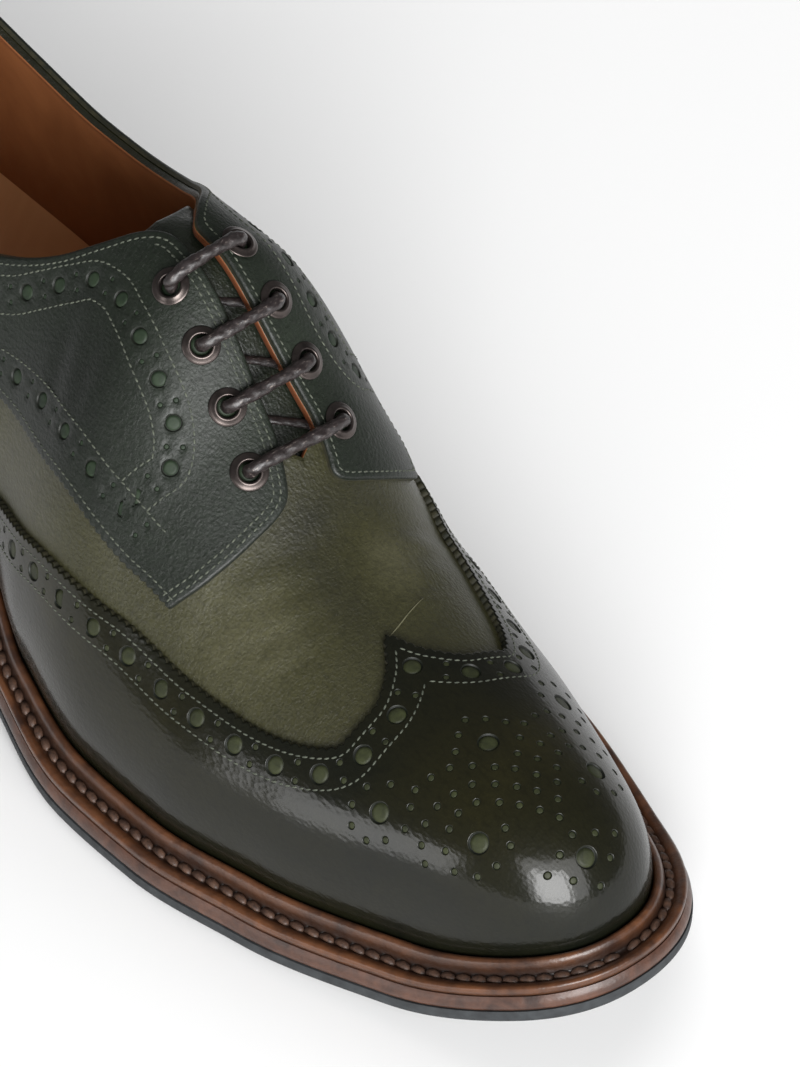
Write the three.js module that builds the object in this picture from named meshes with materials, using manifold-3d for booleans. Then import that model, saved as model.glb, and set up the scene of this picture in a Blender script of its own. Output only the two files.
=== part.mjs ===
// Right shoe of a pair of open-laced wing-tip brogues, standing empty on its sole.
// Millimetres. +X runs from heel to toe, +Y to the inner side of the foot, +Z up.
import * as THREE from 'three';
import { mergeVertices } from 'three/addons/utils/BufferGeometryUtils.js';
import Module from 'manifold-3d';

const wasm = await Module();
wasm.setup();

// Sizes of the last
const LENGTH = 292;
const BALL_WIDTH = 90;
const INSTEP_HEIGHT = 92;
const HEEL_RISE = 19;
const TOE_SPRING = 11.5;
const HEEL_ROUND = 34;
const TOE_ROUND = 67;
const TOE_DROP = 28.5;
const TOE_SWING = 1.2;
const HEEL_CURVE_OUT = 3.5;
const HEEL_CURVE_IN = 7;
const HEEL_CURVE_HEIGHT = 62;
const HEEL_CURVE_REACH = 85;

// Fullness of the toe: its plan, its tip in plan and its fall from the side, as powers
const TOE_FULLNESS = { plan: 1.92, tip: 2.26, fall: 2.2 };

// Leathers of the upper
const WALL = 2;
const OVERLAY = 1.1;
const TONGUE = 1.8;

// Sole, from the ground up
const OUTSOLE = 3.8;
const MIDSOLE = 3.2;
const WELT = 2.6;
const FEATHER_LIFT = 3.5;
const RIB_RISE = 0.3;
const TUCK = 1.6;
const RIB_WIDTH = 2.7;
const LIP = 2.4;
const TOP_LIFT = 6;
const FLANGE = 2;
const FOREPART_MARGIN = 7.6;
const WAIST_MARGIN = 6.6;
const WELT_SET = 1;
const HEEL_LENGTH = 71.5;
const HEEL_TAPER = 1.2;

// Lacing
const EYELET_HOLE = 2.2;
const EYELET_WALL = 0.55;
const EYELET_FLANGE = 4.2;
const EYELET_HEIGHT = 1;
const EYELET_SPREAD = 11.9;
const EYELET_SHIFT = -1.2;
const LACE = 1.35;
const TONGUE_HALF = 18;

// Space between touching pieces
const GAP = 0.3;

// The sections: at is a share of LENGTH, rise of HEEL_RISE, spring of TOE_SPRING and crest of
// INSTEP_HEIGHT; lateral, medial, lean and the bulges are shares of BALL_WIDTH; wall and crown
// are shares of the section's own height and half width.
const SECTION_COLUMNS = ['at', 'rise', 'spring', 'lateral', 'medial', 'crest', 'lean',
  'bulgeLateral', 'bulgeMedial', 'wall', 'crownLateral', 'crownMedial'];
const SECTIONS = [
  [0.00, 1.00, 0.00, 0.325, 0.315, 0.870, 0.000, 0.033, 0.033, 0.45, 0.70, 0.70],
  [0.10, 0.97, 0.00, 0.345, 0.325, 0.910, 0.000, 0.044, 0.045, 0.45, 0.68, 1.08],
  [0.25, 0.74, 0.00, 0.335, 0.280, 0.970, 0.035, 0.078, 0.140, 0.42, 0.52, 1.05],
  [0.40, 0.30, 0.00, 0.360, 0.270, 1.010, 0.090, 0.110, 0.145, 0.40, 0.30, 0.97],
  [0.50, 0.08, 0.00, 0.472, 0.338, 1.000, 0.110, 0.100, 0.130, 0.42, 0.40, 0.90],
  [0.60, 0.00, 0.00, 0.530, 0.418, 0.735, 0.100, 0.067, 0.062, 0.50, 0.50, 0.64],
  [0.68, 0.00, 0.00, 0.516, 0.431, 0.533, 0.020, 0.044, 0.047, 0.55, 0.52, 0.52],
  [0.78, 0.00, 0.02, 0.440, 0.390, 0.440, -0.014, 0.033, 0.040, 0.60, 0.55, 0.56],
  [0.90, 0.00, 0.20, 0.350, 0.355, 0.376, -0.014, 0.028, 0.026, 0.62, 0.58, 0.58],
  [1.00, 0.00, 1.00, 0.325, 0.363, 0.280, 0.000, 0.022, 0.022, 0.62, 0.58, 0.58],
];

// The topline, from heel to facing: at, and its height as a share of the section's height.
const TOPLINE = [
  [0.000, 0.800], [0.060, 0.765], [0.120, 0.705], [0.180, 0.665], [0.250, 0.650],
  [0.320, 0.695], [0.370, 0.760], [0.410, 0.840], [0.436, 0.915], [0.464, 0.985], [0.478, 0.998],
];

// Half the width between the facings: at, and shares of the front width THROAT_WIDTH.
const THROAT_WIDTH = 5.4;
const THROAT = [[0.47, 0.40], [0.51, 0.46], [0.55, 0.56], [0.59, 0.76], [0.615, 0.90], [0.634, 1.00]];
const THROAT_END = THROAT[THROAT.length - 2][0];
const THROAT_ROUND = 2;

// Lower edge of a quarter, from the feather at the waist to the tab: at, and across as a share
// of the girth between crest (0) and feather (1).
const QUARTER_EDGE = [
  [0.200, 1.000], [0.250, 0.800], [0.330, 0.620], [0.411, 0.545], [0.483, 0.520],
  [0.539, 0.505], [0.586, 0.490], [0.632, 0.465],
];
const TAB_FRONT = [[0.632, 0.465], [0.641, 0.355], [0.645, 0.225], [0.644, 0.130], [0.640, 0.080]];

// Edge of the wing cap, from its tail at the feather to its point on the crest: at, and across.
const WING = [
  [0.300, 0.930], [0.380, 0.815], [0.448, 0.730], [0.533, 0.655], [0.589, 0.605], [0.641, 0.565],
  [0.692, 0.530], [0.740, 0.500], [0.778, 0.445], [0.801, 0.350], [0.799, 0.210], [0.782, 0.080],
  [0.757, 0.000],
];
const WING_TAIL = WING[0][0] - 0.01;

// Eyelets: at, and half the width of the row across the throat as a share of EYELET_SPREAD.
const EYELETS = [[0.508, 0.740], [0.545, 0.815], [0.578, 0.866], [0.614, 1.000]];

// Tongue, from its free end to under the vamp: at, and half width as a share of TONGUE_HALF.
const TONGUE_SHAPE = [[0.418, 0.78], [0.435, 0.94], [0.50, 1.00], [0.58, 0.94], [0.66, 0.78]];

// How far out the sole's margin has grown from WAIST_MARGIN to FOREPART_MARGIN: at, and share.
const MARGIN_SHAPE = [[0, 0], [0.3, 0], [0.45, 0], [0.62, 1], [1, 1]];

// How finely the surfaces are cut
const OPENING_STEPS = 24;
const OPENING_SAMPLES = 240;
const TAB_STEPS = 2;
const FORE_STEPS = 14;
const GIRTH_STEPS = 9;
const WING_STEPS = 24;
const WING_TIP_STEPS = 6;
const WING_GIRTH_STEPS = 9;
const QUARTER_FOOT_STEPS = 8;
const QUARTER_EDGE_STEPS = 10;
const QUARTER_GIRTH_STEPS = 13;
const TONGUE_STEPS = 10;
const TONGUE_HALF_STEPS = 5;
const SOLE_STEPS = 30;
const HEEL_STEPS = 12;
const EYELET_SIDES = 8;
const LACE_SIDES = 6;
const LACE_STEPS = 13;
const ARC_SAMPLES = 40;
const EVEN_RADIUS = 100;

// How far down a whole share past the feather line reaches
const PAST_FEATHER = 100;

// Smooth curve through the points (xs, ys) that never overshoots them.
function spline(xs, ys) {
  const steps = xs.slice(1).map((x, i) => x - xs[i]);
  const slopes = steps.map((h, i) => (ys[i + 1] - ys[i]) / h);
  const tangents = ys.map((y, i) => {
    if (i === 0) return slopes[0];
    if (i === ys.length - 1) return slopes[i - 1];
    if (slopes[i - 1] * slopes[i] <= 0) return 0;
    const a = 2 * steps[i] + steps[i - 1];
    const b = steps[i] + 2 * steps[i - 1];
    return (a + b) / (a / slopes[i - 1] + b / slopes[i]);
  });
  return (x) => {
    let i = 0;
    while (i < steps.length - 1 && x > xs[i + 1]) i += 1;
    const h = steps[i];
    const t = THREE.MathUtils.clamp((x - xs[i]) / h, 0, 1);
    const r = 1 - t;
    return ys[i] * (1 + 2 * t) * r * r + ys[i + 1] * t * t * (3 - 2 * t)
      + h * t * r * (tangents[i] * r - tangents[i + 1] * t);
  };
}

// One smooth curve for each later column of a table, along its first.
function columnsOf(table, names) {
  const xs = table.map((row) => row[0]);
  return Object.fromEntries(names.map((name, k) => [name, spline(xs, table.map((row) => row[k]))]));
}

const last = columnsOf(SECTIONS, SECTION_COLUMNS);
const topline = columnsOf(TOPLINE, ['at', 'share']).share;
const throat = columnsOf(THROAT, ['at', 'share']).share;

// Stations run from 0 at the back of the heel to 1 at the toe tip, closer together at both ends.
const positionAt = (station) => 0.5 * LENGTH * (1 - Math.cos(Math.PI * station));
const stationAt = (share) => Math.acos(1 - 2 * share) / Math.PI;

// Height of the sole's underside, running on at the toe's own slope past the tip.
function groundAt(x) {
  const within = Math.min(x, LENGTH) / LENGTH;
  const slope = (last.spring(1) - last.spring(0.98)) / 0.02;
  const spring = last.spring(within) + slope * (x / LENGTH - within);
  return HEEL_RISE * last.rise(within) + TOE_SPRING * spring;
}

// Heights of the layers above it, up to the feather line.
const MIDSOLE_FOOT = OUTSOLE + GAP;
const WELT_FOOT = MIDSOLE_FOOT + MIDSOLE + GAP;
const WELT_TOP = WELT_FOOT + WELT;
const UPPER_FOOT = WELT_TOP + GAP;
const FEATHER = UPPER_FOOT + FEATHER_LIFT;

// Sizes of the cross-section at x.
function sectionAt(x) {
  const at = x / LENGTH;
  const toeShare = Math.max(0, (x - LENGTH + TOE_ROUND) / TOE_ROUND);
  const toe = Math.max(0, 1 - toeShare ** TOE_FULLNESS.plan) ** (1 / TOE_FULLNESS.tip);
  const heelShare = Math.max(0, (HEEL_ROUND - x) / HEEL_ROUND);
  const heel = Math.sqrt(Math.max(0, 1 - heelShare * heelShare));
  const dropShare = Math.max(0, (x - LENGTH + TOE_DROP) / TOE_DROP);
  const drop = Math.sqrt(Math.max(0, 1 - dropShare ** TOE_FULLNESS.fall));
  const foreShare = Math.max(0, at - 0.55) / 0.45;
  const width = BALL_WIDTH * toe * heel;
  return {
    base: groundAt(x) + FEATHER,
    height: INSTEP_HEIGHT * last.crest(at) * drop,
    lean: BALL_WIDTH * last.lean(at) * toe,
    swing: TOE_SWING * foreShare * foreShare,
    wall: last.wall(at),
    lateral: {
      half: width * last.lateral(at),
      bulge: width * last.bulgeLateral(at),
      crown: last.crownLateral(at),
    },
    medial: {
      half: width * last.medial(at),
      bulge: width * last.bulgeMedial(at),
      crown: last.crownMedial(at),
    },
  };
}

// Half section as a curve from the feather (t = 0) to the crest (t = 1).
function halfPoint(section, sign, t) {
  const side = sign < 0 ? section.lateral : section.medial;
  const r = 1 - t;
  const foot = r * r * r;
  const shoulder = 3 * r * r * t;
  const top = 3 * r * t * t;
  const crest = t * t * t;
  return {
    y: section.swing + foot * sign * side.half + shoulder * sign * (side.half + side.bulge)
      + top * (section.lean + sign * side.half * side.crown) + crest * section.lean,
    z: section.base + shoulder * section.height * section.wall + (top + crest) * section.height,
  };
}

// Half section with its running length and its running turn, which grows fastest where the
// section bends most; kept for each x and side.
const halves = new Map();
function halfSection(x, sign) {
  const key = `${x} ${sign}`;
  if (!halves.has(key)) {
    const section = sectionAt(x);
    const lengths = [0];
    const turns = [0];
    let before = halfPoint(section, sign, 0);
    let heading = Math.PI / 2;
    for (let i = 1; i <= ARC_SAMPLES; i += 1) {
      const point = halfPoint(section, sign, i / ARC_SAMPLES);
      const step = Math.hypot(point.y - before.y, point.z - before.z);
      const bearing = Math.atan2(point.z - before.z, sign * (before.y - point.y));
      lengths.push(lengths[i - 1] + step);
      turns.push(turns[i - 1] + Math.sqrt(step * (Math.abs(bearing - heading) + step / EVEN_RADIUS)));
      heading = bearing;
      before = point;
    }
    halves.set(key, { section, lengths, turns, girth: Math.max(lengths[ARC_SAMPLES], 1e-6) });
  }
  return halves.get(key);
}

// Value of a rising list at a place in another, both read as straight runs between entries.
function readOff(places, values, place) {
  let i = 0;
  while (i < places.length - 2 && places[i + 1] < place) i += 1;
  const t = (place - places[i]) / Math.max(places[i + 1] - places[i], 1e-9);
  return values[i] + (values[i + 1] - values[i]) * THREE.MathUtils.clamp(t, 0, 1);
}

// Steps across a half section, closer together where it turns sharply.
function steppedAcross(x, sign, from, to, steps) {
  const { lengths, turns, girth } = halfSection(x, sign);
  const start = readOff(lengths, turns, (1 - from) * girth);
  const end = readOff(lengths, turns, (1 - to) * girth);
  return Array.from({ length: steps + 1 }, (none, j) => {
    const share = readOff(turns, lengths, start + ((end - start) * j) / steps) / girth;
    return 1 - share;
  });
}

const SAMPLE_PLACES = Array.from({ length: ARC_SAMPLES + 1 }, (none, i) => i / ARC_SAMPLES);

// Point of the last's surface: across runs from -1 at the lateral feather over 0 at the crest
// to 1 at the medial feather, and past them straight down.
function lastPoint(x, across) {
  const sign = across < 0 ? -1 : 1;
  const { section, lengths, girth } = halfSection(x, sign);
  const run = Math.max(0, 1 - Math.abs(across)) * girth;
  const { y, z } = halfPoint(section, sign, readOff(lengths, SAMPLE_PLACES, run));
  const below = Math.max(0, Math.abs(across) - 1) * PAST_FEATHER;
  const up = THREE.MathUtils.clamp((z - below - section.base) / HEEL_CURVE_HEIGHT, -0.3, 1.4);
  const fade = Math.max(0, 1 - x / HEEL_CURVE_REACH) ** 2;
  const bow = HEEL_CURVE_IN * up * Math.abs(up)
    - HEEL_CURVE_OUT * Math.sin(Math.PI * THREE.MathUtils.clamp(up, 0, 1));
  return new THREE.Vector3(x + bow * fade, y, z - below);
}

// Outward normal of the last's surface.
function lastNormal(station, across) {
  if (station >= 1) return new THREE.Vector3(1, 0, 0);
  const ahead = Math.min(station + 0.002, 0.9999);
  const behind = Math.max(station - 0.002, 0);
  const c = station === 0 ? Math.abs(across) : across;
  const along = lastPoint(positionAt(ahead), c).sub(lastPoint(positionAt(behind), c));
  const over = lastPoint(positionAt(station), c + 0.006).sub(lastPoint(positionAt(station), c - 0.006));
  const normal = along.cross(over);
  if (station === 0) normal.y = 0;
  return normal.normalize();
}

// Point at a height out above the last's surface.
function place(station, across, out) {
  return lastPoint(positionAt(station), across).addScaledVector(lastNormal(station, across), out);
}

const girthAt = (x, sign) => halfSection(x, sign).girth;

// Across, as a share, where the half section reaches a share of its height.
function acrossAtHeight(x, sign, share) {
  const { section } = halfSection(x, sign);
  let low = 0;
  let high = 1;
  for (let i = 0; i < 30; i += 1) {
    const middle = 0.5 * (low + high);
    if (lastPoint(x, sign * middle).z > section.base + share * section.height) low = middle;
    else high = middle;
  }
  return high;
}

// Across of the upper's free edge: the topline, then the facing's edge, then closed.
function freeEdge(at, sign) {
  const x = at * LENGTH;
  const facing = (THROAT_WIDTH * throat(at)) / girthAt(x, sign);
  if (at >= TOPLINE[TOPLINE.length - 1][0]) return facing;
  return Math.max(acrossAtHeight(x, sign, topline(at)), facing);
}

// Its point as [station, across].
function freePoint(station, sign) {
  return [station, sign * freeEdge(positionAt(station) / LENGTH, sign)];
}

// Collects quads, then welds them into one closed solid with its faces pointing out.
class Skin {
  constructor() {
    this.corners = [];
  }

  quad(a, b, c, d) {
    this.corners.push(a, b, c, a, c, d);
  }

  // Quads between two rows of points of the same length.
  strip(row, next) {
    for (let i = 0; i + 1 < row.length; i += 1) this.quad(row[i], row[i + 1], next[i + 1], next[i]);
  }

  geometry() {
    const raw = new THREE.BufferGeometry().setFromPoints(this.corners);
    const welded = mergeVertices(raw, 2e-3);
    const index = welded.index.array;
    const faces = [];
    for (let i = 0; i < index.length; i += 3) {
      const [a, b, c] = [index[i], index[i + 1], index[i + 2]];
      if (a !== b && b !== c && c !== a) faces.push(a, b, c);
    }
    welded.setIndex(faces);
    return volumeOf(welded) < 0 ? flipped(welded) : welded;
  }
}

function volumeOf(geometry) {
  const position = geometry.attributes.position;
  const index = geometry.index.array;
  const corners = [new THREE.Vector3(), new THREE.Vector3(), new THREE.Vector3()];
  let volume = 0;
  for (let i = 0; i < index.length; i += 3) {
    corners.forEach((corner, k) => corner.fromBufferAttribute(position, index[i + k]));
    volume += corners[0].dot(corners[1].clone().cross(corners[2])) / 6;
  }
  return volume;
}

function flipped(geometry) {
  const index = Array.from(geometry.index.array);
  for (let i = 0; i < index.length; i += 3) [index[i + 1], index[i + 2]] = [index[i + 2], index[i + 1]];
  geometry.setIndex(index);
  return geometry;
}

function toManifold(geometry) {
  return new wasm.Manifold(new wasm.Mesh({
    numProp: 3,
    vertProperties: new Float32Array(geometry.attributes.position.array),
    triVerts: new Uint32Array(geometry.index.array),
  }));
}

// The geometry without what the cutters take out of it.
function cut(geometry, cutters) {
  const solid = cutters.reduce((left, cutter) => left.subtract(toManifold(cutter)), toManifold(geometry));
  const mesh = solid.getMesh();
  const result = new THREE.BufferGeometry();
  result.setAttribute('position', new THREE.BufferAttribute(new Float32Array(mesh.vertProperties), 3));
  result.setIndex(new THREE.BufferAttribute(new Uint32Array(mesh.triVerts), 1));
  return result;
}

// Leather between two heights over the last, on a grid of [station, across] rows.
function leather(rows, inner, outer) {
  const skin = new Skin();
  const lift = (out) => rows.map((row) => row.map(([station, across]) => place(station, across, out)));
  const under = lift(inner);
  const over = lift(outer);
  for (let i = 0; i + 1 < rows.length; i += 1) {
    skin.strip(over[i + 1], over[i]);
    skin.strip(under[i], under[i + 1]);
  }
  const end = rows.length - 1;
  skin.strip(over[0], under[0]);
  skin.strip(under[end], over[end]);
  const left = (grid) => grid.map((row) => row[0]);
  const right = (grid) => grid.map((row) => row[row.length - 1]);
  skin.strip(left(under), left(over));
  skin.strip(right(over), right(under));
  return skin.geometry();
}

// Stations evenly spaced along a side's free edge, from the heel to where the facings close.
function openingStations(sign) {
  const end = stationAt(THROAT_END);
  const fine = Array.from({ length: OPENING_SAMPLES + 1 }, (none, i) => (end * i) / OPENING_SAMPLES);
  const runs = [0];
  const edge = fine.map((station) => place(station, sign * freeEdge(positionAt(station) / LENGTH, sign), 0));
  for (let i = 1; i < fine.length; i += 1) runs.push(runs[i - 1] + edge[i].distanceTo(edge[i - 1]));
  return Array.from({ length: OPENING_STEPS + 1 }, (none, i) => (
    readOff(runs, fine, (runs[runs.length - 1] * i) / OPENING_STEPS)));
}

// Rows of [station, across] that run from each point of one edge to its mate on the other.
function between(from, to, steps) {
  return from.map(([a, c], i) => {
    const [b, d] = to[i];
    const span = Math.abs(d) - Math.abs(c);
    const sign = c + d < 0 ? -1 : 1;
    const weight = Math.min(1, 2 * Math.abs(span));
    return steppedAcross(positionAt(0.5 * (a + b)), sign, Math.abs(c), Math.abs(d), steps)
      .map((across, j) => {
        const even = j / steps;
        const t = even + weight * ((across - Math.abs(c)) / (Math.abs(span) > 1e-6 ? span : 1) - even);
        return [a + (b - a) * t, c + (d - c) * t];
      });
  });
}

// The row carried on straight down behind the welt's rib, where it ends on the feather line.
function tucked(row) {
  const [station, across] = row[row.length - 1];
  const onFeather = Math.abs(across) > 0.999 || station > 0.9999;
  return [...row, [station, onFeather ? Math.sign(across || 1) * (1 + TUCK / PAST_FEATHER) : across]];
}

const opening = new Map([-1, 1].map((sign) => [sign, openingStations(sign)]));

// Upper: one hollow wall, open at the topline, between the facings and underneath.
function upperGeometry() {
  const skin = new Skin();
  const closed = stationAt(THROAT_END) + THROAT_ROUND / LENGTH;
  [-1, 1].forEach((sign) => {
    const tops = opening.get(sign).map((station) => freePoint(station, sign));
    for (let i = 0; i <= FORE_STEPS; i += 1) tops.push([closed + ((1 - closed) * i) / FORE_STEPS, 0]);
    const feet = tops.map((point, i) => [i / (tops.length - 1), sign]);
    const columns = between(feet, tops, GIRTH_STEPS)
      .map((row) => [[row[0][0], sign * (1 + FEATHER_LIFT / PAST_FEATHER)], ...row]);
    const lift = (out) => columns.map((row) => row.map(([station, across]) => place(station, across, out)));
    const over = lift(0);
    const under = lift(-WALL);
    const face = (a, b) => (sign < 0 ? skin.strip(a, b) : skin.strip(b, a));
    for (let i = 0; i + 1 < columns.length; i += 1) {
      face(over[i], over[i + 1]);
      face(under[i + 1], under[i]);
      face([under[i][0], over[i][0]], [under[i + 1][0], over[i + 1][0]]);
      if (i <= OPENING_STEPS) {
        const top = GIRTH_STEPS + 1;
        face([over[i][top], under[i][top]], [over[i + 1][top], under[i + 1][top]]);
      }
    }
  });
  return skin.geometry();
}

// Points spread evenly over the rows of a table, each column on its own smooth curve.
function spread(table, count) {
  const places = table.map((row, i) => i / (table.length - 1));
  const curves = table[0].map((value, k) => spline(places, table.map((row) => row[k])));
  return Array.from({ length: count + 1 }, (none, i) => curves.map((curve) => curve(i / count)));
}

const SHELL_FOOT = 2 * GAP;
const SHELL_TOP = SHELL_FOOT + OVERLAY;

// Wing cap: laid over the toe from welt to welt, its edge drawn up to a point on the crest.
function wingCapGeometry() {
  const edge = spread(WING, WING_STEPS).map(([at, across]) => [stationAt(at), across]);
  const tail = stationAt(WING_TAIL);
  const foot = edge.map((point, i) => {
    const run = Math.min(1, i / (WING_STEPS - WING_TIP_STEPS));
    return [tail + (1 - tail) * run * (1.25 - 0.25 * run), Math.min(1, (WING_STEPS - i) / WING_TIP_STEPS)];
  });
  const mirrored = (points) => points.map(([station, across]) => [station, -across]);
  const half = between(edge, foot, WING_GIRTH_STEPS).map(tucked);
  const rows = [...half.map(mirrored), ...half.reverse().slice(1)];
  return leather(rows, SHELL_FOOT, SHELL_TOP);
}

// Quarter: from the back seam to the facing tab, laid over the vamp.
function quarterGeometry(sign) {
  const seam = 0.5 * GAP / (Math.PI * 0.32 * BALL_WIDTH) * Math.sqrt(2 * HEEL_ROUND / LENGTH);
  const closing = stationAt(THROAT_END);
  const corner = stationAt(THROAT[THROAT.length - 1][0]);
  const along = [seam, ...opening.get(sign).slice(1)];
  for (let i = 1; i <= TAB_STEPS; i += 1) along.push(closing + ((corner - closing) * i) / TAB_STEPS);
  const top = along.map((station) => freePoint(station, sign));
  const frontSteps = OPENING_STEPS + TAB_STEPS - QUARTER_FOOT_STEPS - QUARTER_EDGE_STEPS;
  const start = stationAt(QUARTER_EDGE[0][0]);
  const bottom = [];
  for (let i = 0; i < QUARTER_FOOT_STEPS; i += 1) {
    bottom.push([seam + ((start - seam) * i) / QUARTER_FOOT_STEPS, sign]);
  }
  const edge = [...spread(QUARTER_EDGE, QUARTER_EDGE_STEPS), ...spread(TAB_FRONT, frontSteps).slice(1)];
  edge.forEach(([at, across]) => bottom.push([stationAt(at), sign * across]));
  const rows = between(top, bottom, QUARTER_GIRTH_STEPS).map(tucked);
  return cut(leather(rows, SHELL_FOOT, SHELL_TOP), eyeletHoles(sign));
}

// Where an eyelet stands: its point on the last, its outward axis and the frame that turns +Z to it.
function eyeletSeat([at, half], sign) {
  const x = at * LENGTH;
  const across = (sign * half * EYELET_SPREAD + EYELET_SHIFT) / girthAt(x, sign);
  const station = stationAt(at);
  const axis = lastNormal(station, across);
  const point = lastPoint(x, across);
  const turn = new THREE.Quaternion().setFromUnitVectors(new THREE.Vector3(0, 0, 1), axis);
  return { point, axis, turn };
}

// Holes through the leathers, one for each eyelet of a side.
function eyeletHoles(sign) {
  const radius = EYELET_HOLE + EYELET_WALL + GAP;
  const reach = 2 * (WALL + SHELL_TOP);
  return EYELETS.map((row) => {
    const seat = eyeletSeat(row, sign);
    const pin = new THREE.CylinderGeometry(radius, radius, 2 * reach, EYELET_SIDES);
    pin.rotateX(Math.PI / 2).applyQuaternion(seat.turn).translate(...seat.point.toArray());
    pin.deleteAttribute('normal');
    pin.deleteAttribute('uv');
    return mergeVertices(pin, 1e-4);
  });
}

// Eyelet: a rolled flange on the facing and a barrel down through the leathers.
function eyeletGeometry() {
  const seat = SHELL_TOP + GAP;
  const barrel = EYELET_HOLE + EYELET_WALL;
  const roll = (EYELET_FLANGE - EYELET_HOLE) / 4;
  const profile = [
    [EYELET_HOLE, -WALL], [barrel, -WALL], [barrel, seat], [EYELET_FLANGE, seat],
    [EYELET_FLANGE - 0.3 * roll, seat + 0.6 * EYELET_HEIGHT],
    [EYELET_FLANGE - 1.4 * roll, seat + EYELET_HEIGHT],
    [EYELET_HOLE + 0.6 * roll, seat + 0.9 * EYELET_HEIGHT], [EYELET_HOLE, -WALL],
  ];
  const lathe = new THREE.LatheGeometry(profile.map(([r, z]) => new THREE.Vector2(r, z)), EYELET_SIDES);
  lathe.rotateX(Math.PI / 2);
  return tidied(lathe);
}

// A three.js solid with only its corners kept, welded and facing out.
function tidied(geometry) {
  const skin = new Skin();
  const flat = geometry.index ? geometry.toNonIndexed() : geometry;
  const position = flat.attributes.position;
  for (let i = 0; i < position.count; i += 1) {
    skin.corners.push(new THREE.Vector3().fromBufferAttribute(position, i));
  }
  return skin.geometry();
}

// Lace bar: out of one eyelet, straight over the throat and into its mate.
function laceBarGeometry(row) {
  const near = eyeletSeat(row, -1);
  const far = eyeletSeat(row, 1);
  const over = far.point.clone().sub(near.point).normalize();
  const flange = SHELL_TOP + GAP + EYELET_HEIGHT;
  const rest = flange + LACE + GAP;
  const bend = [
    [0, -0.37 * LACE], [0, 0.5 * flange], [0.3 * LACE, flange],
    [1.04 * LACE, rest - GAP], [2.07 * LACE, rest + 0.07 * LACE], [3.4 * LACE, rest],
  ];
  const rise = (seat, inward) => {
    const aside = over.clone().multiplyScalar(inward);
    aside.addScaledVector(seat.axis, -aside.dot(seat.axis)).normalize();
    return bend.map(([out, height]) => seat.point.clone()
      .addScaledVector(seat.axis, height).addScaledVector(aside, out));
  };
  const bends = [...rise(near, 1), ...rise(far, -1).reverse()];
  const route = new THREE.CatmullRomCurve3(bends, false, 'centripetal');
  const ring = new THREE.Shape(Array.from({ length: LACE_SIDES }, (none, i) => {
    const angle = (2 * Math.PI * i) / LACE_SIDES;
    return new THREE.Vector2(LACE * Math.cos(angle), LACE * Math.sin(angle));
  }));
  const sweep = { extrudePath: route, steps: LACE_STEPS, bevelEnabled: false };
  return tidied(new THREE.ExtrudeGeometry(ring, sweep));
}

// Tongue: under the facings, from above the topline to under the vamp.
function tongueGeometry() {
  const top = -WALL - 5 * GAP;
  const count = 2 * TONGUE_HALF_STEPS + 1;
  const rowAt = ([at, half]) => Array.from({ length: count }, (none, j) => {
    const across = (j / TONGUE_HALF_STEPS - 1) * half * TONGUE_HALF;
    return [stationAt(at), across / girthAt(at * LENGTH, across < 0 ? -1 : 1)];
  });
  const rows = spread(TONGUE_SHAPE, TONGUE_STEPS).map(rowAt);
  return leather(rows, top - TONGUE, top);
}

// Plan of the feather line, moved outwards by a distance, on one side of a station.
function rimPoint(station, sign, out) {
  const at = (s) => lastPoint(positionAt(s), sign);
  const point = at(station);
  if (station <= 0) return [point.x - out, point.y];
  if (station >= 1) return [point.x + out, point.y];
  const along = at(Math.min(station + 0.002, 0.9999)).sub(at(Math.max(station - 0.002, 0.0001)));
  const length = Math.hypot(along.x, along.y);
  return [point.x - (sign * out * along.y) / length, point.y + (sign * out * along.x) / length];
}

// How far the sole stands out past the feather line.
const marginShare = columnsOf(MARGIN_SHAPE, ['at', 'share']).share;
const marginAt = (station) => WAIST_MARGIN
  + (FOREPART_MARGIN - WAIST_MARGIN) * marginShare(positionAt(station) / LENGTH);
const soleEdgeAt = (station) => marginAt(station) + LIP;
const weltEdgeAt = (station) => soleEdgeAt(station) - WELT_SET;

// Evenly spaced stations from the back of the heel to an end.
function stationsTo(end, count) {
  return Array.from({ length: count + 1 }, (none, i) => (end * i) / count);
}

// Layer of the sole: a stack of [out, height] points up its side, swept from heel to toe.
function layerGeometry(stations, side) {
  const skin = new Skin();
  const rings = stations.map((station) => {
    const half = (sign) => side(station).map(([out, height]) => {
      const [x, y] = rimPoint(station, sign, out);
      return new THREE.Vector3(x, y, height(x));
    });
    const lateral = half(-1);
    const medial = half(1).reverse();
    return [...lateral, ...medial, lateral[0]];
  });
  for (let i = 0; i + 1 < rings.length; i += 1) skin.strip(rings[i], rings[i + 1]);
  [rings[0], rings[rings.length - 1]].forEach((ring, end) => {
    const count = (ring.length - 1) / 2;
    for (let k = 0; k + 1 < count; k += 1) {
      const face = [ring[k], ring[k + 1], ring[2 * count - 2 - k], ring[2 * count - 1 - k]];
      skin.quad(...(end === 0 ? face.reverse() : face));
    }
  });
  return skin.geometry();
}

// Height over the sole's underside, as a function of x.
const above = (height) => (x) => groundAt(x) + height;

// Outsole: the rubber tread, flat under the ball and lifted over the waist.
function outsoleGeometry() {
  return layerGeometry(stationsTo(1, SOLE_STEPS), (station) => {
    const edge = soleEdgeAt(station);
    return [
      [edge - 0.32 * OUTSOLE, above(0)], [edge, above(0.24 * OUTSOLE)],
      [edge + 0.026 * OUTSOLE, above(OUTSOLE)],
    ];
  });
}

// Midsole: the leather through-sole, its edge rounded out.
function midsoleGeometry() {
  return layerGeometry(stationsTo(1, SOLE_STEPS), (station) => {
    const edge = soleEdgeAt(station);
    return [
      [edge - 0.03 * MIDSOLE, above(MIDSOLE_FOOT)],
      [edge - 0.06 * MIDSOLE, above(MIDSOLE_FOOT + 0.45 * MIDSOLE)],
      [edge - 0.31 * MIDSOLE, above(MIDSOLE_FOOT + MIDSOLE)],
    ];
  });
}

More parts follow.
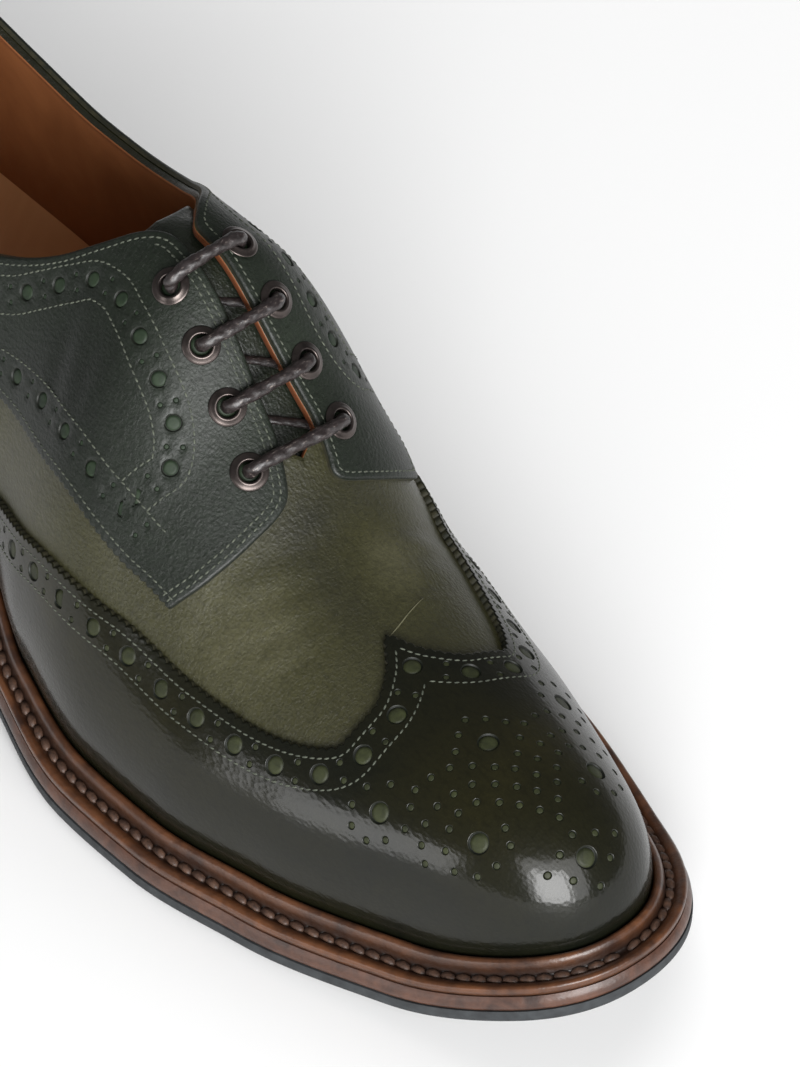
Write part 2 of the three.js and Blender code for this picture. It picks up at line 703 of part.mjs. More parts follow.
// Insole: fills the shoe's floor inside the wall.
function insoleGeometry() {
  const inset = -WALL - 2 * GAP;
  return layerGeometry(stationsTo(1, SOLE_STEPS), () => [
    [inset, above(WELT_FOOT)], [inset, above(FEATHER)]]);
}

// Heel: leather block and rubber top lift under the back of the sole, drawn in towards the ground.
function heelGeometry(foot, top, taper) {
  return layerGeometry(stationsTo(stationAt(HEEL_LENGTH / LENGTH), HEEL_STEPS), (station) => {
    const edge = weltEdgeAt(station);
    return [[edge - HEEL_TAPER, foot], [edge - taper, top]];
  });
}

// Welt: a ring with a stitched groove and a rib standing against the upper.
function weltGeometry() {
  const skin = new Skin();
  const stations = stationsTo(1, SOLE_STEPS);
  const ribFoot = SHELL_TOP + 3 * GAP;
  const ribTop = FEATHER + RIB_RISE;
  const profile = (station) => {
    const lip = weltEdgeAt(station);
    const groove = ribFoot + RIB_WIDTH;
    return [
      [-FLANGE, WELT_FOOT],
      [lip - 0.12 * WELT, WELT_FOOT],
      [lip, WELT_FOOT + 0.5 * WELT],
      [lip - 0.2 * WELT, WELT_TOP],
      [groove + 0.38 * WELT, WELT_TOP - 0.2 * WELT],
      [groove, WELT_TOP - 0.08 * WELT],
      [ribFoot + 0.8 * RIB_WIDTH, ribTop - 0.38 * WELT],
      [ribFoot + 0.4 * RIB_WIDTH, ribTop],
      [ribFoot, ribTop - 0.2 * WELT],
      [ribFoot, WELT_TOP],
      [-FLANGE, WELT_TOP],
    ];
  };
  const ringAt = (station, sign) => {
    const ring = profile(station).map(([out, height]) => {
      const [x, y] = rimPoint(station, sign, out);
      return new THREE.Vector3(x, y, groundAt(x) + height);
    });
    return [...ring, ring[0]];
  };
  const rings = [
    ...stations.map((station) => ringAt(station, -1)),
    ...stations.slice(1, -1).reverse().map((station) => ringAt(station, 1)),
  ];
  rings.forEach((ring, i) => skin.strip(ring, rings[(i + 1) % rings.length]));
  return skin.geometry();
}

function material(color, roughness, metalness) {
  return new THREE.MeshStandardMaterial({ color, roughness, metalness });
}

const shoe = new THREE.Group();

function add(name, geometry, color, roughness, metalness = 0) {
  const mesh = new THREE.Mesh(geometry, material(color, roughness, metalness));
  mesh.name = name;
  shoe.add(mesh);
  return mesh;
}

add('outsole', outsoleGeometry(), 0x303234, 0.8);
add('midsole', midsoleGeometry(), 0x5a3a26, 0.5);
add('welt', weltGeometry(), 0x6b3d1f, 0.45);
add('heel_stack', heelGeometry(() => TOP_LIFT + GAP, above(-GAP), 0), 0x54341f, 0.5);
add('heel_top_lift', heelGeometry(() => 0, () => TOP_LIFT, HEEL_TAPER), 0x2b2d2f, 0.85);
add('insole', insoleGeometry(), 0xb98355, 0.7);
add('upper', cut(upperGeometry(), [...eyeletHoles(-1), ...eyeletHoles(1)]), 0x3d4524, 0.4);
add('tongue', tongueGeometry(), 0x39412a, 0.5);
add('wing_cap', wingCapGeometry(), 0x1c2418, 0.25);
add('quarter_lateral', quarterGeometry(-1), 0x2b3a30, 0.4);
add('quarter_medial', quarterGeometry(1), 0x2b3a30, 0.4);

EYELETS.forEach((row, i) => {
  [['lateral', -1], ['medial', 1]].forEach(([side, sign]) => {
    const seat = eyeletSeat(row, sign);
    const eyelet = add(`eyelet_${side}_${i + 1}`, eyeletGeometry(), 0x4a3d3a, 0.35, 0.9);
    eyelet.position.copy(seat.point);
    eyelet.quaternion.copy(seat.turn);
  });
  add(`lace_bar_${i + 1}`, laceBarGeometry(row), 0x3a2826, 0.5);
});

// The origin is on the ground under the middle of the shoe's box.
shoe.updateMatrixWorld(true);
const box = new THREE.Box3().setFromObject(shoe);
const middle = box.getCenter(new THREE.Vector3());
shoe.position.set(-middle.x, -middle.y, -box.min.z);

export default shoe;
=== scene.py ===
"""Right shoe of a pair of wing-tip brogues, empty, laced straight across, standing on a pale floor."""

import math

import bpy
import numpy as np
from mathutils import Matrix, Vector
from mathutils.geometry import delaunay_2d_cdt


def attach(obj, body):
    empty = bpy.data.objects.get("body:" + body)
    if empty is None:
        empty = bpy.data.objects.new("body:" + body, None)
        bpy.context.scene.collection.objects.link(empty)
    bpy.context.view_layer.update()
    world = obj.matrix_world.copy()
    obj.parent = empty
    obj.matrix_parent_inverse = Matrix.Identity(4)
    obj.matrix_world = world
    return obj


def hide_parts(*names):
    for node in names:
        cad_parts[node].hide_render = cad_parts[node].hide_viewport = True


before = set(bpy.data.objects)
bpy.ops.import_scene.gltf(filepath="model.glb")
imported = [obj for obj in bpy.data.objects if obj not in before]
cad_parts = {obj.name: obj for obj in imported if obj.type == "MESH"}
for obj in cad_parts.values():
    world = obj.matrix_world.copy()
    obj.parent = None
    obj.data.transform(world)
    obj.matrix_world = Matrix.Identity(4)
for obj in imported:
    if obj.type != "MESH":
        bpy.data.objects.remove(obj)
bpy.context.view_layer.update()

TINY = 1e-12

# Sizes of the last, in millimetres
LENGTH = 292.0
BALL_WIDTH = 90.0
INSTEP_HEIGHT = 92.0
HEEL_RISE = 19.0
TOE_SPRING = 11.5
HEEL_ROUND = 34.0
TOE_ROUND = 67.0
TOE_DROP = 28.5
TOE_SWING = 1.2
TOE_FULLNESS = {"plan": 1.92, "tip": 2.26, "fall": 2.2}
HEEL_CURVE_OUT = 3.5
HEEL_CURVE_IN = 7.0
HEEL_CURVE_HEIGHT = 62.0
HEEL_CURVE_REACH = 85.0

# Leathers, sole and lacing
WALL = 2.0
OUTER = 1.65
OUTSOLE = 3.8
MIDSOLE_TOP = 7.45
WELT_FOOT = 7.5
WELT_TOP = 10.2
FEATHER = 14.0
RIB_TOP = 14.3
RIB_IN = 2.15
RIB_WIDTH = 2.3
LIP = 2.4
SOLE_BULGE = 0.1
TOP_LIFT = 6.0
FOREPART_MARGIN = 7.6
WAIST_MARGIN = 6.6
EYELET_HOLE = 2.25
EYELET_FLANGE = 4.2
EYELET_TOP = 2.47
HEEL_LIFTS = 3
WELT_STITCH = {"pitch": 3.7, "half": 1.95, "thickness": 0.98, "slant": 0.22}
LACE = 1.35
HEEL_BREAST = 0.245

SECTION_COLUMNS = ["at", "rise", "spring", "lateral", "medial", "crest", "lean",
                   "bulge_lateral", "bulge_medial", "wall", "crown_lateral", "crown_medial"]
SECTIONS = np.array([
    [0.00, 1.00, 0.00, 0.325, 0.315, 0.870, 0.000, 0.033, 0.033, 0.45, 0.70, 0.70],
    [0.10, 0.97, 0.00, 0.345, 0.325, 0.910, 0.000, 0.044, 0.045, 0.45, 0.68, 1.08],
    [0.25, 0.74, 0.00, 0.335, 0.280, 0.970, 0.035, 0.078, 0.140, 0.42, 0.52, 1.05],
    [0.40, 0.30, 0.00, 0.360, 0.270, 1.010, 0.090, 0.110, 0.145, 0.40, 0.30, 0.97],
    [0.50, 0.08, 0.00, 0.472, 0.338, 1.000, 0.110, 0.100, 0.130, 0.42, 0.40, 0.90],
    [0.60, 0.00, 0.00, 0.530, 0.418, 0.735, 0.100, 0.067, 0.062, 0.50, 0.50, 0.64],
    [0.68, 0.00, 0.00, 0.516, 0.431, 0.533, 0.020, 0.044, 0.047, 0.55, 0.52, 0.52],
    [0.78, 0.00, 0.02, 0.440, 0.390, 0.440, -0.014, 0.033, 0.040, 0.60, 0.55, 0.56],
    [0.90, 0.00, 0.20, 0.350, 0.355, 0.376, -0.014, 0.028, 0.026, 0.62, 0.58, 0.58],
    [1.00, 0.00, 1.00, 0.325, 0.363, 0.280, 0.000, 0.022, 0.022, 0.62, 0.58, 0.58]])

# Topline: at, and its height as a share of the section's height
TOPLINE = [(0.000, 0.800), (0.060, 0.765), (0.120, 0.705), (0.180, 0.665), (0.250, 0.650),
           (0.320, 0.695), (0.370, 0.760), (0.410, 0.840), (0.436, 0.915), (0.464, 0.985), (0.478, 0.998)]
THROAT_WIDTH = 5.4
THROAT = [(0.47, 0.40), (0.51, 0.46), (0.55, 0.56), (0.59, 0.76), (0.615, 0.90), (0.634, 1.00)]
THROAT_END = 0.615
FACING_START = 0.462

# Edges on the upper: at, and across as a share of the girth from crest (0) to feather (1)
QUARTER_EDGE = [(0.200, 1.000), (0.250, 0.800), (0.330, 0.620), (0.411, 0.545), (0.483, 0.520),
                (0.539, 0.505), (0.586, 0.490), (0.632, 0.465)]
TAB_FRONT = [(0.632, 0.465), (0.641, 0.355), (0.645, 0.225), (0.644, 0.130), (0.640, 0.080)]
WING = [(0.292, 0.985), (0.300, 0.930), (0.380, 0.815), (0.448, 0.730), (0.533, 0.655), (0.589, 0.605),
        (0.641, 0.565), (0.692, 0.530), (0.740, 0.500), (0.778, 0.445), (0.801, 0.350), (0.799, 0.210),
        (0.782, 0.080), (0.757, 0.000)]
EYELETS = [(0.508, 8.8), (0.545, 9.7), (0.578, 10.3), (0.614, 11.9)]
EYELET_SHIFT = -1.2
TONGUE_SHAPE = [(0.418, 14.0), (0.435, 17.0), (0.50, 18.0), (0.58, 17.0), (0.66, 14.0)]

# Brogue band of a quarter: at, and across, down its middle
QUARTER_BAND = [(0.030, 0.370), (0.060, 0.405), (0.110, 0.460), (0.180, 0.495), (0.250, 0.498),
                (0.330, 0.432), (0.386, 0.350), (0.408, 0.295), (0.433, 0.230), (0.455, 0.182),
                (0.475, 0.172), (0.492, 0.180), (0.524, 0.200), (0.552, 0.215), (0.570, 0.245),
                (0.578, 0.290), (0.574, 0.335), (0.570, 0.385)]
LOWER_BAND = [(0.300, 0.615), (0.360, 0.530), (0.420, 0.475), (0.464, 0.447), (0.498, 0.440),
              (0.533, 0.435), (0.567, 0.420), (0.600, 0.410)]

# Toe medallion, one half: millimetres back from the toe tip, and across from the crest
MEDALLION_LARGE = [(36.6, 0.0), (42.9, 25.8), (21.8, 15.5), (6.9, 0.0)]
MEDALLION_SMALL = [
    (44.2, 0.0), (42.0, 3.4), (39.2, 6.3), (37.2, 9.4), (38.6, 13.4), (39.4, 17.3), (28.0, 0.0),
    (30.9, 2.8), (34.2, 5.9), (44.4, 20.1), (48.3, 23.9), (48.9, 28.7), (46.9, 32.1), (42.8, 32.3),
    (39.1, 29.2), (36.5, 24.4), (37.9, 20.4), (33.4, 16.4), (32.4, 12.4), (31.0, 8.5), (27.7, 5.2),
    (24.4, 2.4), (21.3, 0.0), (33.3, 20.6), (31.8, 24.4), (29.5, 27.0), (28.9, 14.3), (27.5, 10.3),
    (24.1, 7.1), (21.0, 4.6), (17.8, 2.2), (14.7, 0.0), (28.4, 17.8), (26.8, 21.6), (23.3, 23.6),
    (18.8, 20.6), (16.6, 15.8), (16.7, 11.0), (19.6, 9.6), (11.0, 0.0), (9.6, 4.3), (8.7, 8.5),
    (5.5, 4.5), (3.0, 0.0)]

# Creases over the flex of the vamp: at, reach, lean, depth and width
CREASES = [(0.668, 34, 0.10, 0.30, 2.6), (0.690, 40, 0.16, 0.38, 3.0), (0.714, 36, 0.20, 0.30, 2.6),
           (0.735, 26, 0.16, 0.18, 2.2)]

# Punched holes: the small ones lie in pairs, apart from the line of the large ones
MEDALLION_LARGE_HOLE = (2.4, 0.62)
MEDALLION_SMALL_HOLE = (0.95, 0.42)
WING_HOLES = {"pitch": 10.7, "radius": 2.3, "depth": 0.62, "small": 0.9, "apart": 1.9}
QUARTER_HOLES = {"radius": 2.05, "depth": 0.55, "small": 0.7, "apart": 1.7}

# Stitches of the upper, and how its panels are made
STITCH = {"pitch": 1.65, "length": 1.3, "thickness": 0.22, "out": OUTER + 0.02}
PANEL_STEP = 1.5
EDGE_TURNS = (25, 50, 72, 90)
EDGE_ROLL = 0.34
TOP_EDGE_ROLL = 0.75

# Quarters: where the tab ends, how far their edges lie in from the opening's, and the back seam
TAB_END = 0.634
COLLAR_INSET = 0.55
FACING_INSET = {-1: 0.8, 1: 0.85}
BACK_SEAM = 0.0022
TONGUE_BACK = 0.017

# How far the sock lining rises up the wall: side, everywhere, and more at the waist
SOCK_RISES = ((-1, 3.0, 0.0), (1, 5.5, 13.0))

rng = np.random.default_rng(7)


def unit(v):
    return v / (np.linalg.norm(v, axis=-1, keepdims=True) + TINY)


def runs(points):
    """Length along a line at each of its points."""
    return np.concatenate([[0], np.cumsum(np.linalg.norm(np.diff(points, axis=0), axis=1))])


def hump(x, centre, width, power=2):
    """Smooth hump of height 1 round a centre."""
    return np.exp(-((x - centre) / width) ** power)


def resampled(at, run, values):
    """Columns of values at places along a run."""
    return np.stack([np.interp(at, run, column) for column in values.T], -1)


def spline(xs, ys):
    """Smooth curve through points that never overshoots them."""
    xs = np.asarray(xs, float)
    ys = np.asarray(ys, float)
    h = np.diff(xs)
    d = np.diff(ys) / h
    m = np.zeros(len(xs))
    for i in range(1, len(xs) - 1):
        if d[i - 1] * d[i] > 0:
            a, b = 2 * h[i] + h[i - 1], h[i] + 2 * h[i - 1]
            m[i] = (a + b) / (a / d[i - 1] + b / d[i])
    m[0], m[-1] = d[0], d[-1]

    def curve(x):
        x = np.asarray(x, float)
        i = np.clip(np.searchsorted(xs, x) - 1, 0, len(h) - 1)
        t = np.clip((x - xs[i]) / h[i], 0, 1)
        r = 1 - t
        return (ys[i] * (1 + 2 * t) * r * r + ys[i + 1] * t * t * (3 - 2 * t)
                + h[i] * t * r * (m[i] * r - m[i + 1] * t))
    return curve


LAST = {name: spline(SECTIONS[:, 0], SECTIONS[:, k]) for k, name in enumerate(SECTION_COLUMNS)}
topline = spline(*zip(*TOPLINE))
throat = spline(*zip(*THROAT))
margin_share = spline([0, 0.3, 0.45, 0.62, 1], [0, 0, 0, 1, 1])


def position_at(s):
    return 0.5 * LENGTH * (1 - np.cos(np.pi * np.asarray(s, float)))


def station_at(share):
    return np.arccos(1 - 2 * np.asarray(share, float)) / np.pi


def ground_at(x):
    """Height of the sole's underside, running on at the toe's own slope past the tip."""
    x = np.asarray(x, float)
    within = np.minimum(x, LENGTH) / LENGTH
    slope = float(LAST["spring"](1.0) - LAST["spring"](0.98)) / 0.02
    rise = HEEL_RISE * LAST["rise"](within)
    return rise + TOE_SPRING * (LAST["spring"](within) + slope * (x / LENGTH - within))


def section(x):
    u = x / LENGTH
    t = np.clip((x - (LENGTH - TOE_ROUND)) / TOE_ROUND, 0, 1)
    toe = np.clip(1 - t ** TOE_FULLNESS["plan"], 0, 1) ** (1 / TOE_FULLNESS["tip"])
    s = np.clip((HEEL_ROUND - x) / HEEL_ROUND, 0, 1)
    heel = np.sqrt(np.clip(1 - s * s, 0, 1))
    td = np.clip((x - (LENGTH - TOE_DROP)) / TOE_DROP, 0, 1)
    drop = np.sqrt(np.clip(1 - td ** TOE_FULLNESS["fall"], 0, 1))
    width = BALL_WIDTH * toe * heel
    found = {name: width * LAST[name](u) for name in ("lateral", "medial", "bulge_lateral", "bulge_medial")}
    found.update({name: LAST[name](u) for name in ("wall", "crown_lateral", "crown_medial")})
    found["base"] = ground_at(x) + FEATHER
    found["height"] = INSTEP_HEIGHT * LAST["crest"](u) * drop
    found["lean"] = BALL_WIDTH * LAST["lean"](u) * toe
    found["swing"] = TOE_SWING * np.clip((u - 0.55) / 0.45, 0, 1) ** 2
    return found


def half_point(f, side, t):
    """Half section from the feather (t = 0) to the crest (t = 1)."""
    w = np.where(side < 0, f["lateral"], f["medial"])
    b = np.where(side < 0, f["bulge_lateral"], f["bulge_medial"])
    k = np.where(side < 0, f["crown_lateral"], f["crown_medial"])
    r = 1 - t
    b0, b1, b2, b3 = r ** 3, 3 * r * r * t, 3 * r * t * t, t ** 3
    y = f["swing"] + b0 * side * w + b1 * side * (w + b) + b2 * (f["lean"] + side * w * k) + b3 * f["lean"]
    z = f["base"] + b1 * f["height"] * f["wall"] + (b2 + b3) * f["height"]
    return y, z


ARC_SAMPLES = 48
POINTS_AT_ONCE = 30000
# Millimetres straight down for each whole share past the feather line
PAST_FEATHER = 100


def last_points(s, c):
    """Points of the last's surface at stations s and shares c of the girth, in millimetres."""
    s, c = np.broadcast_arrays(np.asarray(s, float), np.asarray(c, float))
    shape = s.shape
    s, c = s.ravel(), c.ravel()
    out = np.empty((len(s), 3))
    for start in range(0, len(s), POINTS_AT_ONCE):
        part = slice(start, start + POINTS_AT_ONCE)
        x, cc = position_at(s[part]), c[part]
        side = np.where(cc < 0, -1.0, 1.0)
        f = section(x)
        t = np.linspace(0, 1, ARC_SAMPLES + 1)[:, None]
        ff = {k: v[None] for k, v in f.items()}
        ys, zs = half_point(ff, side[None], t)
        seg = np.hypot(np.diff(ys, axis=0), np.diff(zs, axis=0))
        run = np.vstack([np.zeros(len(x)), np.cumsum(seg, 0)])
        want = np.clip(1 - np.abs(cc), 0, 1) * run[-1]
        i = np.clip((run <= want + TINY).sum(0) - 1, 0, ARC_SAMPLES - 1)
        j = np.arange(len(x))
        more = np.clip((want - run[i, j]) / np.maximum(seg[i, j], 1e-9), 0, 1)
        y, z = half_point(f, side, (i + more) / ARC_SAMPLES)
        z = z - np.clip(np.abs(cc) - 1, 0, None) * PAST_FEATHER
        up = np.clip((z - f["base"]) / HEEL_CURVE_HEIGHT, -0.3, 1.4)
        bow = HEEL_CURVE_IN * up * np.abs(up) - HEEL_CURVE_OUT * np.sin(np.pi * np.clip(up, 0, 1))
        out[part] = np.stack([x + bow * np.clip(1 - x / HEEL_CURVE_REACH, 0, 1) ** 2, y, z], -1)
    return out.reshape(shape + (3,))


def girth_at(x, side):
    x = np.atleast_1d(np.asarray(x, float))
    ff = {k: v[None] for k, v in section(x).items()}
    t = np.linspace(0, 1, ARC_SAMPLES + 1)[:, None]
    ys, zs = half_point(ff, np.where(np.asarray(side) < 0, -1.0, 1.0), t)
    return np.hypot(np.diff(ys, axis=0), np.diff(zs, axis=0)).sum(0)


# Fine net over the last, for its normals and slopes
NET_S = np.linspace(0, 1, 561)
NET_C = np.linspace(-1.08, 1.08, 433)
net = last_points(NET_S[:, None], NET_C[None, :])
net_along = np.gradient(net, NET_S, axis=0)
net_over = np.gradient(net, NET_C, axis=1)
net_normal = unit(np.cross(net_along, net_over))
net_normal[0] = unit(np.where(NET_C[:, None] < 0, net_normal[1, ::-1], net_normal[1]) * [1, 0, 1])
net_normal[-1] = [1, 0, 0]
net_girth = np.stack([girth_at(position_at(NET_S), side) for side in (-1, 1)])
net_run = runs(last_points(NET_S, np.zeros_like(NET_S)))


def read_net(values, s, c):
    a = np.clip(np.asarray(s, float), 0, 1) * (len(NET_S) - 1)
    b = (np.clip(np.asarray(c, float), NET_C[0], NET_C[-1]) - NET_C[0]) / (NET_C[1] - NET_C[0])
    i = np.minimum(a.astype(int), len(NET_S) - 2)
    j = np.minimum(b.astype(int), len(NET_C) - 2)
    u, v = (a - i)[..., None], (b - j)[..., None]
    return (values[i, j] * (1 - u) * (1 - v) + values[i + 1, j] * u * (1 - v)
            + values[i, j + 1] * (1 - u) * v + values[i + 1, j + 1] * u * v)


def normals(s, c):
    return unit(read_net(net_normal, s, c))


def lifted(s, c, out=0.0):
    """Points at a height out over the last."""
    s, c, out = np.broadcast_arrays(np.asarray(s, float), np.asarray(c, float), np.asarray(out, float))
    return last_points(s, c) + normals(s, c) * out[..., None]


def girths(s, c):
    lateral, medial = (np.interp(s, NET_S, girth) for girth in net_girth)
    return np.maximum(np.where(np.asarray(c) < 0, lateral, medial), 1e-3)


def girth_of(s, side):
    """Girth of one side at one station."""
    return float(girths(np.array([s]), np.array([float(side)]))[0])


def chart(s, c):
    """Flat chart of the surface, near to true size: run along the crest, and girth across."""
    c = np.asarray(c, float)
    inner = np.clip(np.abs(c), 0, 1) * girths(s, c) + np.clip(np.abs(c) - 1, 0, None) * PAST_FEATHER
    return np.stack([np.interp(s, NET_S, net_run), np.sign(c) * inner], -1)


def unchart(p, q):
    s = np.interp(p, net_run, NET_S)
    g = girths(s, q)
    over = np.clip(np.abs(q) - g, 0, None)
    return s, np.sign(q) * (np.minimum(np.abs(q) / g, 1) + over / PAST_FEATHER)


def walked(s, c, move, steps=1):
    """Where points end that move over the surface by short vectors in space."""
    s, c = np.array(s, float), np.array(c, float)
    for _ in range(steps):
        a, b = read_net(net_along, s, c), read_net(net_over, s, c)
        v = move / steps
        aa, ab, bb = (a * a).sum(-1), (a * b).sum(-1), (b * b).sum(-1)
        av, bv = (a * v).sum(-1), (b * v).sum(-1)
        det = aa * bb - ab * ab + 1e-9
        s = np.clip(s + (bb * av - ab * bv) / det, 0, 1)
        c = np.clip(c + (aa * bv - ab * av) / det, -1.06, 1.06)
    return s, c


class Path:
    """Line on the surface with its frame, at an even spacing."""

    def __init__(self, s, c, step=0.5):
        s, c = np.asarray(s, float), np.asarray(c, float)
        run = runs(last_points(s, c))
        keep = np.concatenate([[True], np.diff(run) > 1e-6])
        s, c, run = s[keep], c[keep], run[keep]
        self.length = run[-1]
        self.run = np.linspace(0, self.length, max(2, int(round(self.length / step)) + 1))
        self.s, self.c = np.interp(self.run, run, s), np.interp(self.run, run, c)
        self.tangent = unit(np.gradient(last_points(self.s, self.c), axis=0))
        self.left = unit(np.cross(normals(self.s, self.c), self.tangent))

    def aside(self, distance):
        """The same line moved to its left."""
        d = np.broadcast_to(np.asarray(distance, float), self.s.shape)
        s, c = walked(self.s, self.c, self.left * d[:, None], 4)
        ahead = np.diff(last_points(s, c), axis=0)
        keep = np.concatenate([[True], (ahead * self.tangent[:-1]).sum(1) > 0.02])
        return Path(s[keep], c[keep])


def knots(table, sign=1.0, count=400):
    """Smooth line through rows of at and across."""
    at, c = np.array(table, float).T * [[1], [sign]]
    s = station_at(at)
    run = runs(last_points(s, c))
    t = np.linspace(0, run[-1], count)
    return spline(run, s)(t), spline(run, c)(t)


def smoothed(s, c, width, step=0.4):
    """A line with its corners rounded over a width in millimetres, its ends kept."""
    path = Path(s, c, step)
    k = max(1, int(width / step / 2))
    kernel = np.ones(2 * k + 1) / (2 * k + 1)
    done = []
    for values in (path.s, path.c):
        before, after = 2 * values[0] - values[k:0:-1], 2 * values[-1] - values[-2:-k - 2:-1]
        padded = np.concatenate([before, values, after])
        done.append(np.convolve(padded, kernel, "valid"))
    return done[0], done[1]


# The part's own shift from the last's frame to the ground under its middle
sole_stations = np.linspace(0, 1, 31)


def rim(s, side, out):
    """Plan of the feather line moved outwards."""
    s = np.asarray(s, float)
    edge = np.full(s.shape, float(side))
    p = last_points(s, edge)
    t = last_points(np.clip(s + 0.002, 0, 0.9999), edge) - last_points(np.clip(s - 0.002, 0.0001, 1), edge)
    size = np.hypot(t[..., 0], t[..., 1]) + TINY
    x = p[..., 0] - side * out * t[..., 1] / size
    y = p[..., 1] + side * out * t[..., 0] / size
    x = np.where(s <= 0, p[..., 0] - out, np.where(s >= 1, p[..., 0] + out, x))
    return x, np.where((s <= 0) | (s >= 1), p[..., 1], y)


def margin(s):
    return WAIST_MARGIN + (FOREPART_MARGIN - WAIST_MARGIN) * margin_share(position_at(s) / LENGTH)


sole_edge = margin(sole_stations) + LIP + SOLE_BULGE
sides = np.array([rim(sole_stations, side, sole_edge) for side in (-1, 1)])
SHIFT = np.append((sides.min((0, 2)) + sides.max((0, 2))) / 2, 0.0)


def to_frame(points):
    return (np.asarray(points, float) - SHIFT) / 1000


def make(name, points, faces, materials, tones, slots=None, vertex_normals=None, sharp=None):
    """Mesh piece from points in millimetres, smooth, with a material number for each face."""
    mesh = bpy.data.meshes.new(name)
    sizes = np.array([len(f) for f in faces])
    mesh.vertices.add(len(points))
    mesh.vertices.foreach_set("co", to_frame(points).astype(np.float32).ravel())
    loops = np.fromiter((i for f in faces for i in f), np.int32, int(sizes.sum()))
    mesh.loops.add(len(loops))
    mesh.loops.foreach_set("vertex_index", loops)
    mesh.polygons.add(len(faces))
    mesh.polygons.foreach_set("loop_start", np.concatenate([[0], np.cumsum(sizes)[:-1]]).astype(np.int32))
    mesh.polygons.foreach_set("loop_total", sizes.astype(np.int32))
    mesh.polygons.foreach_set("use_smooth", np.ones(len(faces), bool))
    for m in materials:
        mesh.materials.append(m)
    if slots is not None:
        mesh.polygons.foreach_set("material_index", np.asarray(slots, np.int32))
    layer = mesh.attributes.new("tone", "FLOAT", "POINT")
    layer.data.foreach_set("value", np.asarray(tones, np.float32))
    mesh.update(calc_edges=True)
    mesh.validate()
    if sharp is not None:
        mesh.set_sharp_from_angle(angle=math.radians(sharp))
    if vertex_normals is not None:
        mesh.normals_split_custom_set_from_vertices(vertex_normals.astype(float).tolist())
    o = bpy.data.objects.new(name, mesh)
    bpy.context.scene.collection.objects.link(o)
    return o


def finished(o, slot, *nodes):
    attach(o, "root")
    if nodes:
        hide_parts(*nodes)


class Shape:
    """Points, faces, material numbers and tones gathered for one mesh."""

    def __init__(self):
        self.points, self.faces, self.slots, self.tones, self.ups = [], [], [], [], []
        self.count = 0

    def add(self, points, tone=0.0, up=None):
        """Points added; the number of the first is given back."""
        points = np.asarray(points, float).reshape(-1, 3)
        self.points.append(points)
        self.tones.append(np.broadcast_to(np.asarray(tone, float), (len(points),)))
        self.ups.append(np.zeros_like(points) if up is None else up)
        self.count += len(points)
        return self.count - len(points)

    def row(self, points, tone=0.0):
        """Points added; all their numbers are given back."""
        return self.add(points, tone) + np.arange(len(points))

    def face(self, indices, slot=0):
        self.faces.append(tuple(int(i) for i in indices))
        self.slots.append(slot)

    def grid(self, points, slot=0, tone=0.0, wrap=False, flip=False):
        rows, cols = points.shape[:2]
        start = self.add(points, np.broadcast_to(tone, (rows, cols)).ravel())
        for i in range(rows - 1):
            here, ahead = start + i * cols, start + (i + 1) * cols
            for j in range(cols if wrap else cols - 1):
                k = (j + 1) % cols
                quad = [here + j, ahead + j, ahead + k, here + k]
                self.face(quad[::-1] if flip else quad, slot)
        return start

    def strip(self, a, b, slot=0, closed=False):
        """Quads between two rows of point numbers."""
        n = len(a)
        for i in range(n if closed else n - 1):
            j = (i + 1) % n
            self.face([a[i], a[j], b[j], b[i]], slot)

    def build(self, name, materials, custom=False, sharp=None):
        ups = np.concatenate(self.ups) if custom else None
        tones = np.concatenate(self.tones)
        return make(name, np.concatenate(self.points), self.faces, materials, tones, self.slots, ups, sharp)


def inside(polygon, points):
    """Which points lie in a closed polygon."""
    a, b = polygon, np.roll(polygon, -1, axis=0)
    x, y = points[:, 0], points[:, 1]
    found = np.zeros(len(points), bool)
    for start in range(0, len(points), 4000):
        part = slice(start, start + 4000)
        yy, xx = y[part, None], x[part, None]
        cross = (a[None, :, 1] > yy) != (b[None, :, 1] > yy)
        slope = (b - a)[None, :, 0] / (b[None, :, 1] - a[None, :, 1] + 1e-15)
        at = a[None, :, 0] + (yy - a[None, :, 1]) * slope
        found[part] = (cross & (xx < at)).sum(1) % 2 == 1
    return found


def near(points, others, limit):
    """Which points lie nearer than a limit to any of the others."""
    close = np.zeros(len(points), bool)
    for start in range(0, len(points), 2000):
        part = slice(start, start + 2000)
        d = ((points[part, None] - others[None]) ** 2).sum(-1).min(1)
        close[part] = d < limit * limit
    return close


def roomy(hole, outline):
    """Whether a hole lies clear inside an outline in the chart."""
    centre = chart(np.array([hole[0]]), np.array([hole[1]]))
    clear = np.linalg.norm(outline - centre, axis=1).min() > hole[2] + 0.9
    return clear and bool(inside(outline, centre)[0])


def around_hole(hole):
    """Directions from a hole's centre to the points of its rim."""
    s, c, radius, _ = hole
    angle = np.linspace(0, 2 * np.pi, 22 if radius > 1.5 else 12, endpoint=False)
    along = read_net(net_along, s, c)
    over = unit(np.cross(normals(s, c), along))
    return np.cos(angle)[:, None] * unit(along) + np.sin(angle)[:, None] * over


def ring_at(hole, turn, share=1.0):
    """Ring on the surface round a hole's centre, at a share of its radius."""
    centre = np.full(len(turn), float(hole[0])), np.full(len(turn), float(hole[1]))
    return walked(*centre, turn * hole[2] * share)


